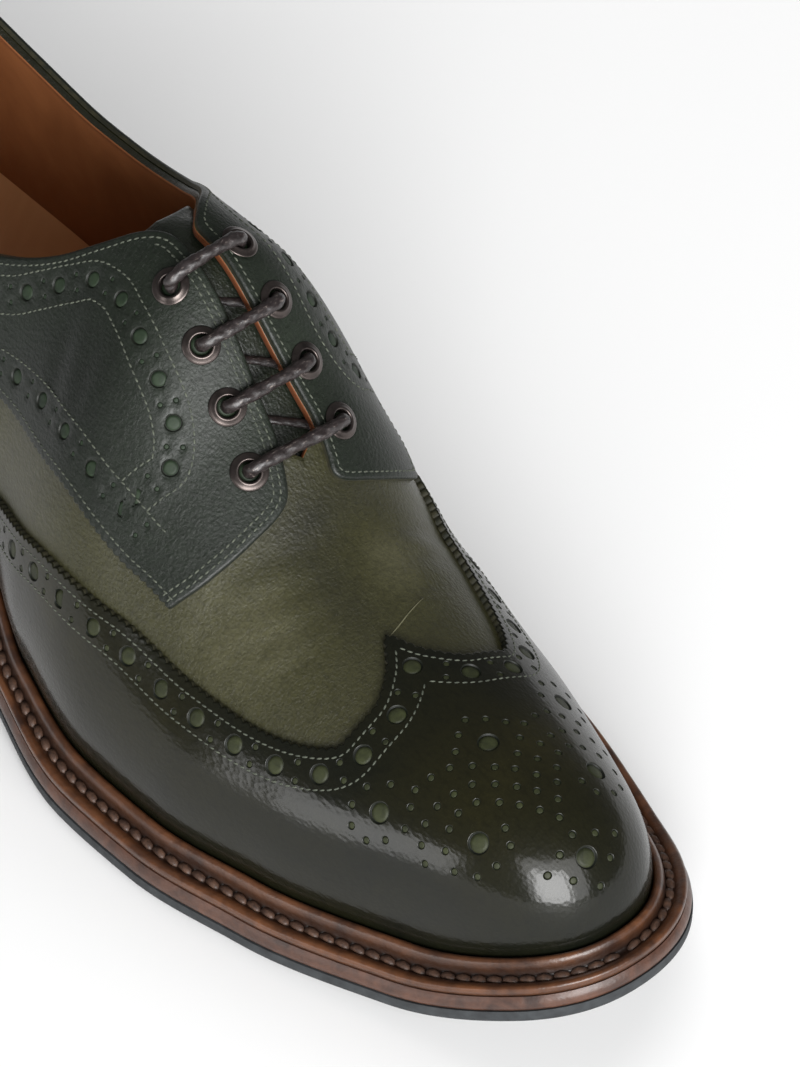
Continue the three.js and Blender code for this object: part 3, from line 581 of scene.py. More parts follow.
def spread(outline, holes):
    """Even net of points inside an outline in the chart, clear of its edge and of the holes."""
    low, high = outline.min(0), outline.max(0)
    ps = np.arange(low[0], high[0], PANEL_STEP * 0.866)
    qs = np.arange(low[1], high[1] + PANEL_STEP, PANEL_STEP)
    p, q = np.meshgrid(ps, qs, indexing="ij")
    q = q + (np.arange(len(ps))[:, None] % 2) * PANEL_STEP / 2
    points = np.stack([p.ravel(), q.ravel()], -1)
    points = points[inside(outline, points)]
    points = points[~near(points, outline, PANEL_STEP * 0.55)]
    for s, c, radius, _ in holes:
        centre = chart(np.array([s]), np.array([c]))[0]
        points = points[np.linalg.norm(points - centre, axis=1) > radius + PANEL_STEP * 0.45]
    return points


def triangulated(outline, rings, points):
    """Triangles between an outline, the rings of its holes and the points inside, in the chart."""
    flat = np.concatenate([outline, *rings, points])
    owner = np.full(len(flat), -1)
    edges, start = [], 0
    for k, loop in enumerate([outline, *rings]):
        n = len(loop)
        owner[start:start + n] = k
        edges += [(start + i, start + (i + 1) % n) for i in range(n)]
        start += n
    corners = [Vector(v) for v in flat.tolist()]
    _, _, faces, sources, _, _ = delaunay_2d_cdt(corners, edges, [], 0, 1e-7)
    source = np.array([o[0] if len(o) else -1 for o in sources])
    triangles = source[np.array([f for f in faces if len(f) == 3])]
    triangles = triangles[(triangles >= 0).all(1)]
    own = owner[triangles]
    same = (own[:, 0] == own[:, 1]) & (own[:, 1] == own[:, 2])
    drop = same & (own[:, 0] > 0)
    check = np.where(same & (own[:, 0] == 0))[0]
    drop[check] = ~inside(outline, flat[triangles[check]].mean(1))
    triangles = triangles[~drop]
    a, b, c = (flat[triangles[:, k]] for k in range(3))
    turned = (b - a)[:, 0] * (c - a)[:, 1] - (b - a)[:, 1] * (c - a)[:, 0] < 0
    triangles[turned] = triangles[turned][:, ::-1]
    return triangles


def panel(name, loop_s, loop_c, holes, materials, tone, roll=EDGE_ROLL, relief=None):
    """Leather laid over the last, with a rounded edge and domed holes punched in it.

    holes: rows of station, across, radius and depth. tone: function of station and across.
    roll: radius of the edge's rounding, one for all or one for each point of the loop.
    relief: function of station and across for dents, or none.
    """
    height = lambda s, c: OUTER + (np.zeros(np.shape(s)) if relief is None else relief(s, c))
    outline = chart(loop_s, loop_c)
    ahead = np.roll(outline, -1, axis=0)
    roll = np.broadcast_to(np.asarray(roll, float), loop_s.shape)
    if np.sum(outline[:, 0] * ahead[:, 1] - ahead[:, 0] * outline[:, 1]) < 0:
        loop_s, loop_c, outline, roll = loop_s[::-1], loop_c[::-1], outline[::-1], roll[::-1]
    holes = [hole for hole in holes if roomy(hole, outline)]
    turns = [around_hole(hole) for hole in holes]
    rims = [ring_at(hole, turn) for hole, turn in zip(holes, turns)]
    points = spread(outline, holes)
    inner_s, inner_c = unchart(points[:, 0], points[:, 1])
    all_s = np.concatenate([loop_s, *[s for s, _ in rims], inner_s])
    all_c = np.concatenate([loop_c, *[c for _, c in rims], inner_c])
    shape = Shape()
    base = shape.add(lifted(all_s, all_c, height(all_s, all_c)), tone(all_s, all_c),
                     normals(all_s, all_c) if relief is None else None)
    for triangle in triangulated(outline, [chart(s, c) for s, c in rims], points):
        shape.face(triangle + base, 0)
    add_edge(shape, loop_s, loop_c, base, height, tone, roll)
    start = base + len(loop_s)
    for hole, turn in zip(holes, turns):
        add_hole(shape, hole, turn, start, height, tone)
        start += len(turn)
    return shape.build(name, materials, custom=relief is None)


def add_edge(shape, loop_s, loop_c, base, height, tone, roll):
    """Rounded edge of a panel, and its cut side down to the last."""
    points = last_points(loop_s, loop_c)
    along = unit(np.roll(points, -1, axis=0) - np.roll(points, 1, axis=0))
    outward = np.cross(along, normals(loop_s, loop_c))
    rows, crown = [np.arange(len(loop_s)) + base], height(loop_s, loop_c)
    for turn in EDGE_TURNS:
        a = math.radians(turn)
        s, c = walked(loop_s, loop_c, outward * (roll * math.sin(a))[:, None])
        rows.append(shape.row(lifted(s, c, crown - roll * (1 - math.cos(a))), tone(s, c) * 0.7))
    rows.append(shape.row(lifted(s, c), tone(s, c) * 0.5))
    for i in range(len(EDGE_TURNS) + 1):
        shape.strip(rows[i + 1], rows[i], 0 if i < len(EDGE_TURNS) else 1, closed=True)


def add_hole(shape, hole, turn, start, height, tone):
    """Wall of a punched hole and the domed leather at its floor."""
    s, c, r, depth = hole
    rings = [np.arange(len(turn)) + start]
    steps = [(1 - 0.10 / r, 0.05, 0), (1 - 0.2 / r, 0.22, 3), (1 - 0.28 / r, depth, 3),
             (1 - 0.42 / r, depth * 1.02, 3), (0.76, depth * 0.50, 2), (0.5, depth * 0.40, 2)]
    for share, down, slot in steps:
        at = ring_at(hole, turn, share)
        rings.append(shape.row(lifted(*at, height(*at) - down), tone(*at)))
        shape.strip(rings[-2], rings[-1], slot, closed=True)
    centre = np.array([s], float), np.array([c], float)
    middle = shape.add(lifted(*centre, height(*centre) - depth * 0.36), tone(*centre))
    for i in range(len(turn)):
        shape.face([rings[-1][i], rings[-1][(i + 1) % len(turn)], middle], 2)


BEAD = [(-1.0, 0.30), (-0.72, 0.86), (0.0, 1.0), (0.72, 0.86), (1.0, 0.30)]


def beads(name, rows, material, wrap=6):
    """Stitches: long beads. rows: centre, direction, up, half length and thickness, each as arrays."""
    centre, along, up, half, thick = rows
    side = unit(np.cross(up, along))
    angle = np.linspace(0, 2 * np.pi, wrap, endpoint=False)
    rings = []
    for t, r in BEAD:
        across = np.cos(angle)[None, :, None] * side[:, None] * (thick * r)[:, None, None]
        across = across + np.sin(angle)[None, :, None] * up[:, None] * (thick * r * 0.8)[:, None, None]
        sunk = up[:, None] * (t * t * thick * 0.55)[:, None, None]
        rings.append((centre + along * (half * t)[:, None])[:, None] + across - sunk)
    points = np.stack(rings, 1)
    count, levels = points.shape[0], len(BEAD)
    each = levels * wrap
    local = [(i * wrap + j, i * wrap + (j + 1) % wrap, (i + 1) * wrap + (j + 1) % wrap, (i + 1) * wrap + j)
             for i in range(levels - 1) for j in range(wrap)]
    local += [tuple(range(wrap))[::-1], tuple((levels - 1) * wrap + j for j in range(wrap))]
    faces = [tuple(v + n * each for v in face) for n in range(count) for face in local]
    tones = np.repeat(rng.uniform(0, 1, count), each)
    return make(name, points.reshape(-1, 3), faces, [material], tones)


def stitch_rows(paths, pitch, length, thickness, out, tilt=0.12):
    """Centres and frames of the stitches along several lines."""
    parts = []
    for path in paths:
        if path.length < 2 * pitch:
            continue
        count = int(path.length / pitch)
        at = (np.arange(count) + 0.5) * path.length / count
        s, c = np.interp(at, path.run, path.s), np.interp(at, path.run, path.c)
        n = normals(s, c)
        t = resampled(at, path.run, path.tangent) + resampled(at, path.run, path.left) * tilt
        t = unit(t - n * (t * n).sum(1, keepdims=True))
        grow = rng.uniform(0.93, 1.05, count)
        half, thick = np.full(count, length / 2) * grow, np.full(count, thickness) * grow
        parts.append((lifted(s, c, out), t, n, half, thick))
    return joined(parts)


def joined(parts):
    """One set of stitch rows from several."""
    return [np.concatenate(columns) for columns in zip(*parts)]


# Materials
def material(name):
    m = bpy.data.materials.new(name)
    m.use_nodes = True
    nodes, links = m.node_tree.nodes, m.node_tree.links
    nodes.clear()
    out = nodes.new("ShaderNodeOutputMaterial")
    shader = nodes.new("ShaderNodeBsdfPrincipled")
    links.new(shader.outputs[0], out.inputs["Surface"])
    return m, nodes, links, shader


def srgb(text):
    v = [int(text[i:i + 2], 16) / 255 for i in (0, 2, 4)]
    return tuple(x / 12.92 if x <= 0.04045 else ((x + 0.055) / 1.055) ** 2.4 for x in v) + (1.0,)


class Nodes:
    """Short words for the nodes of one material."""

    def __init__(self, name):
        self.material, self.nodes, self.links, self.shader = material(name)
        self.place = self.nodes.new("ShaderNodeTexCoord").outputs["Object"]

    def value(self, socket, v):
        if hasattr(v, "node"):
            self.links.new(v, socket)
        else:
            socket.default_value = v

    def stretched(self, sx, sy, sz, turn=(0, 0, 0)):
        n = self.nodes.new("ShaderNodeMapping")
        n.inputs["Scale"].default_value = (sx, sy, sz)
        n.inputs["Rotation"].default_value = turn
        self.links.new(self.place, n.inputs["Vector"])
        return n.outputs[0]

    def noise(self, scale, detail=3.0, rough=0.55, warp=0.0, vector=None):
        n = self.nodes.new("ShaderNodeTexNoise")
        n.inputs["Scale"].default_value = scale
        n.inputs["Detail"].default_value = detail
        n.inputs["Roughness"].default_value = rough
        n.inputs["Distortion"].default_value = warp
        self.links.new(self.place if vector is None else vector, n.inputs["Vector"])
        return n.outputs["Fac"]

    def cells(self, scale, feature="F1", vector=None):
        n = self.nodes.new("ShaderNodeTexVoronoi")
        n.feature = feature
        n.inputs["Scale"].default_value = scale
        if feature == "SMOOTH_F1":
            n.inputs["Smoothness"].default_value = 0.4
        self.links.new(self.place if vector is None else vector, n.inputs["Vector"])
        return n.outputs["Distance"]

    def ramp(self, v, stops):
        n = self.nodes.new("ShaderNodeValToRGB")
        n.color_ramp.interpolation = "LINEAR"
        e = n.color_ramp.elements
        while len(e) < len(stops):
            e.new(0.5)
        for k, (at, colour) in enumerate(stops):
            e[k].position = at
            e[k].color = colour if isinstance(colour, tuple) else (colour, colour, colour, 1)
        self.links.new(v, n.inputs["Fac"])
        return n.outputs["Color"]

    def mix(self, a, b, t, kind="MIX"):
        n = self.nodes.new("ShaderNodeMix")
        n.data_type = "RGBA"
        n.blend_type = kind
        self.value(n.inputs[0], t)
        self.value(n.inputs[6], a)
        self.value(n.inputs[7], b)
        return n.outputs[2]

    def math(self, kind, a, b=0.5, c=None):
        n = self.nodes.new("ShaderNodeMath")
        n.operation = kind
        self.value(n.inputs[0], a)
        self.value(n.inputs[1], b)
        if c is not None:
            self.value(n.inputs[2], c)
        return n.outputs[0]

    def attribute(self, name):
        n = self.nodes.new("ShaderNodeAttribute")
        n.attribute_name = name
        return n.outputs["Fac"]

    def bump(self, height, distance, strength=1.0, under=None):
        n = self.nodes.new("ShaderNodeBump")
        n.inputs["Distance"].default_value = distance / 1000
        n.inputs["Strength"].default_value = strength
        self.links.new(height, n.inputs["Height"])
        if under is not None:
            self.links.new(under, n.inputs["Normal"])
        return n.outputs[0]

    def set(self, **values):
        for key, v in values.items():
            self.value(self.shader.inputs[key.replace("_", " ")], v)
        return self.material


def leather(name, tones, gloss, coat, coat_rough, grain, wrinkle=0.0, rough=(0.32, 0.5), mottle=0.35):
    """Dyed and waxed calf: three tones by the piece's tone value, which on the vamp and the quarters also
    holds painted sheen and painted shade, and by cloudy wear.
    """
    n = Nodes(name)
    tone = n.attribute("tone")
    cloud = n.noise(34, 4, 0.6, 0.6)
    streak = n.noise(60, 3, 0.6, 0.8, n.stretched(0.35, 1.0, 1.0))
    fine = n.noise(420, 3, 0.65)
    t = n.math("ADD", tone, n.math("MULTIPLY_ADD", cloud, mottle * 1.3, -mottle * 0.65))
    t = n.math("ADD", t, n.math("MULTIPLY_ADD", streak, mottle * 0.7, -mottle * 0.35))
    t = n.math("ADD", t, n.math("MULTIPLY_ADD", fine, 0.16, -0.08))
    colour = n.ramp(t, [(0.5 * k, srgb(v)) for k, v in enumerate(tones)])
    pores = n.cells(1500, "F1")
    folds = n.cells(900, "SMOOTH_F1", n.stretched(0.7, 1.5, 1.2, (0.2, 0.1, 0.5)))
    dim = n.mix(colour, (0.35, 0.35, 0.33, 1), 1.0, "MULTIPLY")
    colour = n.mix(colour, dim, n.ramp(folds, [(0.0, 0.0), (0.55, 0.12), (0.9, 0.4)]))
    height = n.math("ADD", n.math("MULTIPLY", folds, 0.8), n.math("MULTIPLY", pores, 0.6))
    b = n.bump(height, 0.16 * grain)
    if wrinkle:
        lines = n.noise(820, 3, 0.6, 0.9, n.stretched(1.7, 0.55, 1.0))
        ridge = n.math("ABSOLUTE", n.math("SUBTRACT", lines, 0.5))
        dim = n.mix(colour, (0.4, 0.4, 0.36, 1), 1.0, "MULTIPLY")
        colour = n.mix(colour, dim, n.ramp(ridge, [(0.0, 0.6), (0.045, 0.0)]))
        b = n.bump(n.ramp(ridge, [(0.0, 0.0), (0.07, 0.7), (0.25, 1.0)]), 0.15 * wrinkle, 1.0, b)
        broad = n.noise(60, 2, 0.5, 0.5, n.stretched(1.6, 0.5, 1.0))
        b = n.bump(broad, 0.6 * wrinkle, 1.0, b)
    r = n.math("MULTIPLY_ADD", n.noise(90, 3, 0.6), rough[1] - rough[0], rough[0])
    soft = n.bump(n.noise(110, 2, 0.5), 0.05, 1.0, n.bump(folds, 0.012 * (1 + 3 * grain)))
    return n.set(Base_Color=colour, Roughness=r, Normal=b, Coat_Normal=soft,
                 Specular_IOR_Level=gloss, Coat_Weight=coat, Coat_Roughness=coat_rough)


wing_leather = leather("wing_leather", ("0b0d08", "1a190b", "333016"), 0.06, 0.58, 0.15, 0.35,
                       mottle=0.40, rough=(0.4, 0.55))
vamp_leather = leather("vamp_leather", ("1d1d12", "35341e", "57553f"), 0.36, 0.22, 0.28, 0.7,
                       wrinkle=0.24, rough=(0.40, 0.54))
quarter_leather = leather("quarter_leather", ("101310", "1a2018", "2f372c"), 0.26, 0.18, 0.28, 0.6,
                          wrinkle=0.24, rough=(0.40, 0.54))
tongue_leather = leather("tongue_leather", ("0d110a", "20261a", "3c4230"), 0.4, 0.3, 0.3, 0.8, wrinkle=0.3)


def plain(name, a, b, scale=260, rough=0.6, bump=0.06, grain=700, gloss=0.4, coat=0.0, extra=None):
    n = Nodes(name)
    cloud = n.noise(scale, 4, 0.6, 0.4)
    colour = n.ramp(cloud, [(0.3, srgb(a)), (0.7, srgb(b))])
    if extra is not None:
        colour = n.mix(colour, srgb(extra), n.ramp(n.attribute("tone"), [(0.0, 0.0), (1.0, 1.0)]))
    return n.set(Base_Color=colour, Roughness=rough, Normal=n.bump(n.noise(grain, 3, 0.6), bump),
                 Specular_IOR_Level=gloss, Coat_Weight=coat, Coat_Roughness=0.25)


raw_edge = plain("cut_edge", "1a1c14", "33301f", 500, 0.7)
floor_of_hole = plain("hole_floor", "1d2013", "31351f", 300, 0.55, gloss=0.25)
floor_of_quarter_hole = plain("quarter_hole_floor", "172017", "273323", 300, 0.55, gloss=0.25)
# Hole walls: cut leather coloured darker than the panels' cut edges, with painted shade inside the hole.
wall_of_hole = plain("hole_wall", "0a0c08", "14180f", 500, 0.55)
lining_leather = plain("lining_leather", "7d4b28", "905a33", 60, 0.62, 0.04, 500, 0.35, 0.0, "5c3219")
sock_leather = plain("sock_leather", "c39468", "d2a476", 40, 0.5, 0.03, 500, 0.4)
thread = plain("thread", "343830", "55594d", 900, 0.7, 0.05, 2500)
welt_leather = plain("welt_leather", "301c12", "633d24", 140, 0.38, 0.22, 380, 0.45, 0.2, "20120b")
edge_leather = plain("edge_leather", "2b1b15", "56382a", 170, 0.45, 0.2, 500, 0.45, 0.18)
heel_leather = plain("heel_leather", "3a2418", "6a432b", 120, 0.45, 0.1, 600, 0.5, 0.25)
rubber = plain("sole_rubber", "232527", "35383a", 300, 0.75, 0.06, 900, 0.35)
welt_thread = plain("welt_thread", "2b1c15", "523a2c", 900, 0.6, 0.1, 2600, 0.4, 0.15)

n = Nodes("eyelet_metal")
shade = n.ramp(n.noise(300, 3), [(0.3, srgb("3f3937")), (0.7, srgb("5a524f"))])
eyelet_metal = n.set(Base_Color=shade, Roughness=0.3, Metallic=0.9)

n = Nodes("waxed_cord")
# Light flecks in the cord's colour are painted highlights on the wax; the darker stops are its mottle.
cord_mottle_and_glints = n.noise(1300, 4, 0.72, 0.3, n.stretched(1.6, 0.5, 1.0))
shade = n.ramp(cord_mottle_and_glints, [(0.3, srgb("110c0b")), (0.6, srgb("272020")), (0.74, srgb("7c736c"))])
dull = n.ramp(n.noise(500, 3), [(0.3, 0.28), (0.7, 0.6)])
waxed_cord = n.set(Base_Color=shade, Roughness=dull, Normal=n.bump(n.noise(1600, 3, 0.6), 0.09),
                   Coat_Weight=0.2, Coat_Roughness=0.28)


# Upper: hollow shell of vamp leather and lining, open between the facings and at the topline
def free_edge(at, side):
    """Across of the upper's free edge: the topline, then the facing's edge."""
    at = np.atleast_1d(np.asarray(at, float))
    x = at * LENGTH
    facing = THROAT_WIDTH * throat(at) / girth_at(x, side)
    f = section(x)
    target = f["base"] + topline(at) * f["height"]
    low, high = np.zeros(len(at)), np.ones(len(at))
    s = station_at(at)
    for _ in range(26):
        middle = 0.5 * (low + high)
        above = last_points(s, side * middle)[:, 2] > target
        low, high = np.where(above, middle, low), np.where(above, high, middle)
    return np.where(at >= TOPLINE[-1][0], facing, np.maximum(high, facing))


def opening(side, end, collar_inset=0.0, facing_inset=0.0, count=700):
    """Line of the free edge from the heel to an end, its corner rounded, set in from the opening."""
    s = np.linspace(0.0, station_at(end), count)
    c = side * free_edge(position_at(s) / LENGTH, side)
    s, c = smoothed(s, c, 5.0)
    if collar_inset or facing_inset:
        path = Path(s, c, 0.4)
        share = np.clip((position_at(path.s) / LENGTH - 0.455) / 0.03, 0, 1)
        moved = path.aside(side * (collar_inset + (facing_inset - collar_inset) * share))
        s, c = moved.s, moved.c
        s[0] = 0.0
    return s, c


def creases(s, c):
    """Soft troughs over the flex of the vamp."""
    x = position_at(s)
    q = c * girths(s, c)
    total = np.zeros(np.shape(x))
    for at, reach, lean, depth, width in CREASES:
        centre = at * LENGTH - lean * np.abs(q) + 1.6 * np.sin(q / 7.0 + at * 40)
        swell = 0.45 * hump(x, centre + 1.7 * width, width)
        total += hump(q, 0, reach, 4) * depth * (swell - hump(x, centre, width))
    return total


def vamp_tone_with_painted_light(s, c):
    # Painted light: lighter painted sheen on the flex either side of the crest, painted shade on the crest
    # between them and in a narrow band across the top just ahead of the tabs; a little lighter down the
    # sides.
    x, q = position_at(s) / LENGTH, c * girths(s, c)
    painted_sheen = hump(c, 0.19, 0.11) * hump(x, 0.705, 0.038) + 0.9 * hump(c, -0.31, 0.16) * hump(x, 0.69, 0.06)
    painted_shade = hump(c, -0.05, 0.09) * hump(x, 0.69, 0.05)
    front = hump(x, 0.655, 0.014) * hump(c, 0, 0.3, 4)
    return 0.44 + 0.26 * painted_sheen - 0.20 * painted_shade - 0.20 * front + 0.08 * np.clip((np.abs(q) - 22) / 20, 0, 1)


def shell():
    """Hollow wall of the upper, open between the facings and at the collar."""
    shape = Shape()
    for side in (-1, 1):
        path = Path(*opening(side, THROAT_END), 1.3)
        opened = len(path.s)
        fore = np.linspace(path.s[-1] + 2.0 / LENGTH, 0.9995, 110)
        top_s = np.concatenate([path.s, fore])[:, None]
        top_c = np.concatenate([path.c, np.zeros(len(fore))])[:, None]
        t = np.linspace(0, 1, 64)
        grid_s = np.linspace(0, 1, len(top_s))[:, None] * (1 - t) + top_s * t
        grid_c = side * (1 - t) + top_c * t
        grid_s = np.concatenate([grid_s[:, :1], grid_s], 1)
        grid_c = np.concatenate([np.full(top_c.shape, side * 1.034), grid_c], 1)
        out = creases(grid_s, grid_c)
        outer = lifted(grid_s, grid_c, out)
        inner = lifted(grid_s, grid_c, -WALL + 0.5 * out)
        distance = np.linalg.norm(inner - inner[:, -1:], axis=-1)
        raw = np.clip(1.1 - distance / 1.5, 0, 1) * (np.arange(len(top_s)) < opened)[:, None]
        rows, cols = grid_s.shape
        a = shape.grid(outer, 0, vamp_tone_with_painted_light(grid_s, grid_c), flip=side > 0) + np.arange(rows) * cols
        b = shape.grid(inner, 1, raw, flip=side < 0) + np.arange(rows) * cols
        rim_part = slice(0, opened + 1)
        mid_s, mid_c = walked(grid_s[rim_part, -1], grid_c[rim_part, -1],
                              (outer[rim_part, -1] - outer[rim_part, -2]) * 0.10)
        bare = np.where(position_at(mid_s) / LENGTH > FACING_START, 1.0, 0.0)
        middle = [shape.row(lifted(mid_s, mid_c, out), bare) for out in (-0.4, -1.6)]
        order = (a[rim_part] + cols - 1, *middle, b[rim_part] + cols - 1)
        turn = int(np.searchsorted(position_at(path.s) / LENGTH, FACING_START))
        for k, pair in enumerate(zip(order, order[1:])):
            first, second = pair[::-side]
            shape.strip(first[:turn + 1], second[:turn + 1], 0 if k < 2 else 1)
            shape.strip(first[turn:], second[turn:], 1)
        shape.strip(*(a, b)[::side], 1)
    return shape.build("upper_shell", [vamp_leather, lining_leather])


finished(shell(), "upper", "upper")


# Wing cap
def pinked(path, depth=0.75, pitch=2.05):
    """A line cut to small even teeth on its left."""
    fine = Path(path.s, path.c, pitch / 6)
    wave = np.abs(((fine.run / pitch) % 1.0) - 0.5) * 2
    d = depth * (wave ** 0.8 - 0.5)
    s, c = walked(fine.s, fine.c, fine.left * d[:, None])
    return s, c


def placed_holes(path, pitch, radius, depth, small, apart, start=0.0):
    """Large holes along a line, with a pair of small ones across it between each two."""
    rows = []
    for i in range(int((path.length - start) / pitch) + 1):
        at = start + i * pitch
        s, c = np.interp(at, path.run, path.s), np.interp(at, path.run, path.c)
        rows.append((s, c, radius, depth))
        half = at + pitch / 2
        if half < path.length:
            k = int(np.clip(np.searchsorted(path.run, half), 0, len(path.run) - 1))
            for sign in (-1, 1):
                a, b = walked(path.s[k:k + 1], path.c[k:k + 1], path.left[k:k + 1] * apart * sign, 2)
                rows.append((float(a[0]), float(b[0]), small, depth * 0.62))
    return rows


wing_near = Path(*knots(WING, -1))
wing_far = Path(wing_near.s[::-1], -wing_near.c[::-1])
near_s, near_c = pinked(wing_near)
rim_s = np.linspace(station_at(0.289), 0.9996, 260)
loop_s = np.concatenate([near_s, near_s[::-1][1:], rim_s, rim_s[::-1]])
loop_c = np.concatenate([near_c, -near_c[::-1][1:], np.full(260, 1.02), np.full(260, -1.02)])

wing_mid = wing_near.aside(-4.9)
wing_holes = []
for row in placed_holes(Path(wing_mid.s[::-1], wing_mid.c[::-1]), **WING_HOLES, start=9.0):
    if abs(row[1]) > 0.03:
        wing_holes += [row, (row[0], -row[1], row[2], row[3])]
wing_holes.append((float(station_at(0.788)), 0.0, WING_HOLES["radius"], WING_HOLES["depth"]))
for marks, hole in ((MEDALLION_LARGE, MEDALLION_LARGE_HOLE), (MEDALLION_SMALL, MEDALLION_SMALL_HOLE)):
    for back_mm, across in marks:
        s = float(station_at(1 - back_mm / LENGTH))
        for sign in ((-1, 1) if across else (1,)):
            wing_holes.append((s, sign * across / girth_of(s, -1), *hole))


def wing_tone(s, c):
    x = position_at(s) / LENGTH
    q = np.abs(c) * girths(s, c)
    middle = hump(x, 0.90, 0.060) * hump(q, 0, 26, 4)
    side = 0.35 * hump(np.abs(c), 0.72, 0.16) * np.clip((0.86 - x) / 0.3, 0, 1)
    return 0.15 + 0.38 * middle + side - 0.10 * np.clip((x - 0.95) / 0.05, 0, 1)


wing_materials = [wing_leather, raw_edge, floor_of_hole, wall_of_hole]
finished(panel("wing_cap_leather", loop_s, loop_c, wing_holes, wing_materials, wing_tone), "wing", "wing_cap")


def halved(path, side):
    """The part of a line on one side of the crest."""
    keep = path.c * side > 0.004
    return Path(path.s[keep], path.c[keep])


stitch_paths = []
for path, side in ((wing_near, -1), (wing_far, 1)):
    stitch_paths += [halved(path.aside(-1.7), side), halved(path.aside(-8.1), side)]
finished(beads("wing_stitches", stitch_rows(stitch_paths, **STITCH), thread), "wing")


# Scuff in the vamp that runs out of the wing's point
scuff_line = Path(*knots([(0.7575, 0.004), (0.753, 0.06), (0.746, 0.13), (0.738, 0.215)], 1, 60), 0.4)
scuff = Shape()
width = 0.2 * np.sin(np.pi * np.linspace(0.25, 1, len(scuff_line.s))) ** 0.6
sheet = []
for share, height in ((-1, -0.12), (-0.5, 0.12), (0, 0.17), (0.5, 0.12), (1, -0.12)):
    s, c = walked(scuff_line.s, scuff_line.c, scuff_line.left * (share * width)[:, None])
    sheet.append(lifted(s, c, height + creases(s, c)))
scuff.grid(np.stack(sheet, 1), 0, 0.8, flip=True)
scuffed = plain("scuffed_leather", "4a4934", "63614b", 900, 0.6, 0.1, 1500)
finished(scuff.build("vamp_scuff", [scuffed]), "upper")


# Quarters
def quarter_tone_with_painted_light(s, c):
    x = position_at(s) / LENGTH
    q = np.abs(c) * girths(s, c)
    # Painted light: lighter round the facing, a painted sheen, and darker over the two creases of the
    # quarter, painted shade in them.
    facing = hump(x, 0.56, 0.09) * hump(q, 0, 30)
    return 0.33 + 0.18 * facing - 0.12 * hump(x, 0.47, 0.05) * hump(q, 38, 14)


def quarter_relief(s, c):
    x, q = position_at(s), np.abs(c) * girths(s, c)
    lean = 0.25 * (q - 35)
    a = -0.45 * hump(x, 0.455 * LENGTH + lean, 3.2) * hump(q, 38, 12)
    b = -0.30 * hump(x, 0.487 * LENGTH + lean, 2.6) * hump(q, 36, 9)
    return a + b


def eyelet_place(at, half, side):
    """Station and across of an eyelet's centre."""
    s = float(station_at(at))
    return s, (side * half + EYELET_SHIFT) / girth_of(s, side)


def clear_of(hole, eyes):
    """Whether a hole keeps off the flanges of the eyelets."""
    apart = [np.linalg.norm(last_points(*hole[:2]) - last_points(*eye[:2])) for eye in eyes]
    return min(apart) > hole[2] + 4.6


quarter_materials = [quarter_leather, raw_edge, floor_of_quarter_hole, wall_of_hole]
all_stitches = []
for side, name in ((-1, "lateral"), (1, "medial")):
    top_s, top_c = opening(side, TAB_END, COLLAR_INSET, FACING_INSET[side])
    front_s, front_c = knots(TAB_FRONT, side, 120)
    corner = smoothed(np.concatenate([top_s, front_s[::-1]]), np.concatenate([top_c, front_c[::-1]]), 4.5)
    lower_s, lower_c = knots(QUARTER_EDGE, side)
    lower = Path(lower_s[::-1], lower_c[::-1])
    teeth = pinked(lower, 0.7 * -side)
    foot_s = np.linspace(station_at(0.200), BACK_SEAM, 120)
    start = corner[0] > BACK_SEAM
    ts, tc = corner[0][start], corner[1][start]
    seam_c = np.linspace(side * 1.02, tc[0], 60)[1:-1]
    loop_s = np.concatenate([ts, teeth[0][1:], foot_s, np.full(len(seam_c), BACK_SEAM)])
    loop_c = np.concatenate([tc, teeth[1][1:], np.full(len(foot_s), side * 1.02), seam_c])
    rolls = np.where(np.arange(len(loop_s)) < len(ts), TOP_EDGE_ROLL, EDGE_ROLL)
    band, low_band = (Path(*knots(table, side)) for table in (QUARTER_BAND, LOWER_BAND))
    holes = placed_holes(band, 9.7, **QUARTER_HOLES, start=4.0)
    holes += placed_holes(low_band, 11.2, **QUARTER_HOLES, start=3.0)
    eyes = [(*eyelet_place(at, half, side), 2.9, 1.5) for at, half in EYELETS]
    holes = [hole for hole in holes if clear_of(hole, eyes)]
    quarter = panel(f"quarter_{name}_leather", loop_s, loop_c, holes + eyes, quarter_materials,
                    quarter_tone_with_painted_light, rolls, quarter_relief)
    finished(quarter, "quarters", f"quarter_{name}")
    rows = [Path(ts, tc).aside(side * 0.9)]
    if side < 0:
        facing = position_at(ts) / LENGTH > 0.47
        rows.append(Path(ts[facing], tc[facing]).aside(side * 2.4))
    rows += [band.aside(4.0), band.aside(-4.3), low_band.aside(3.6), lower.aside(side * 1.5)]
    all_stitches.append(stitch_rows(rows, **STITCH))
finished(beads("quarter_stitches", joined(all_stitches), thread), "quarters")


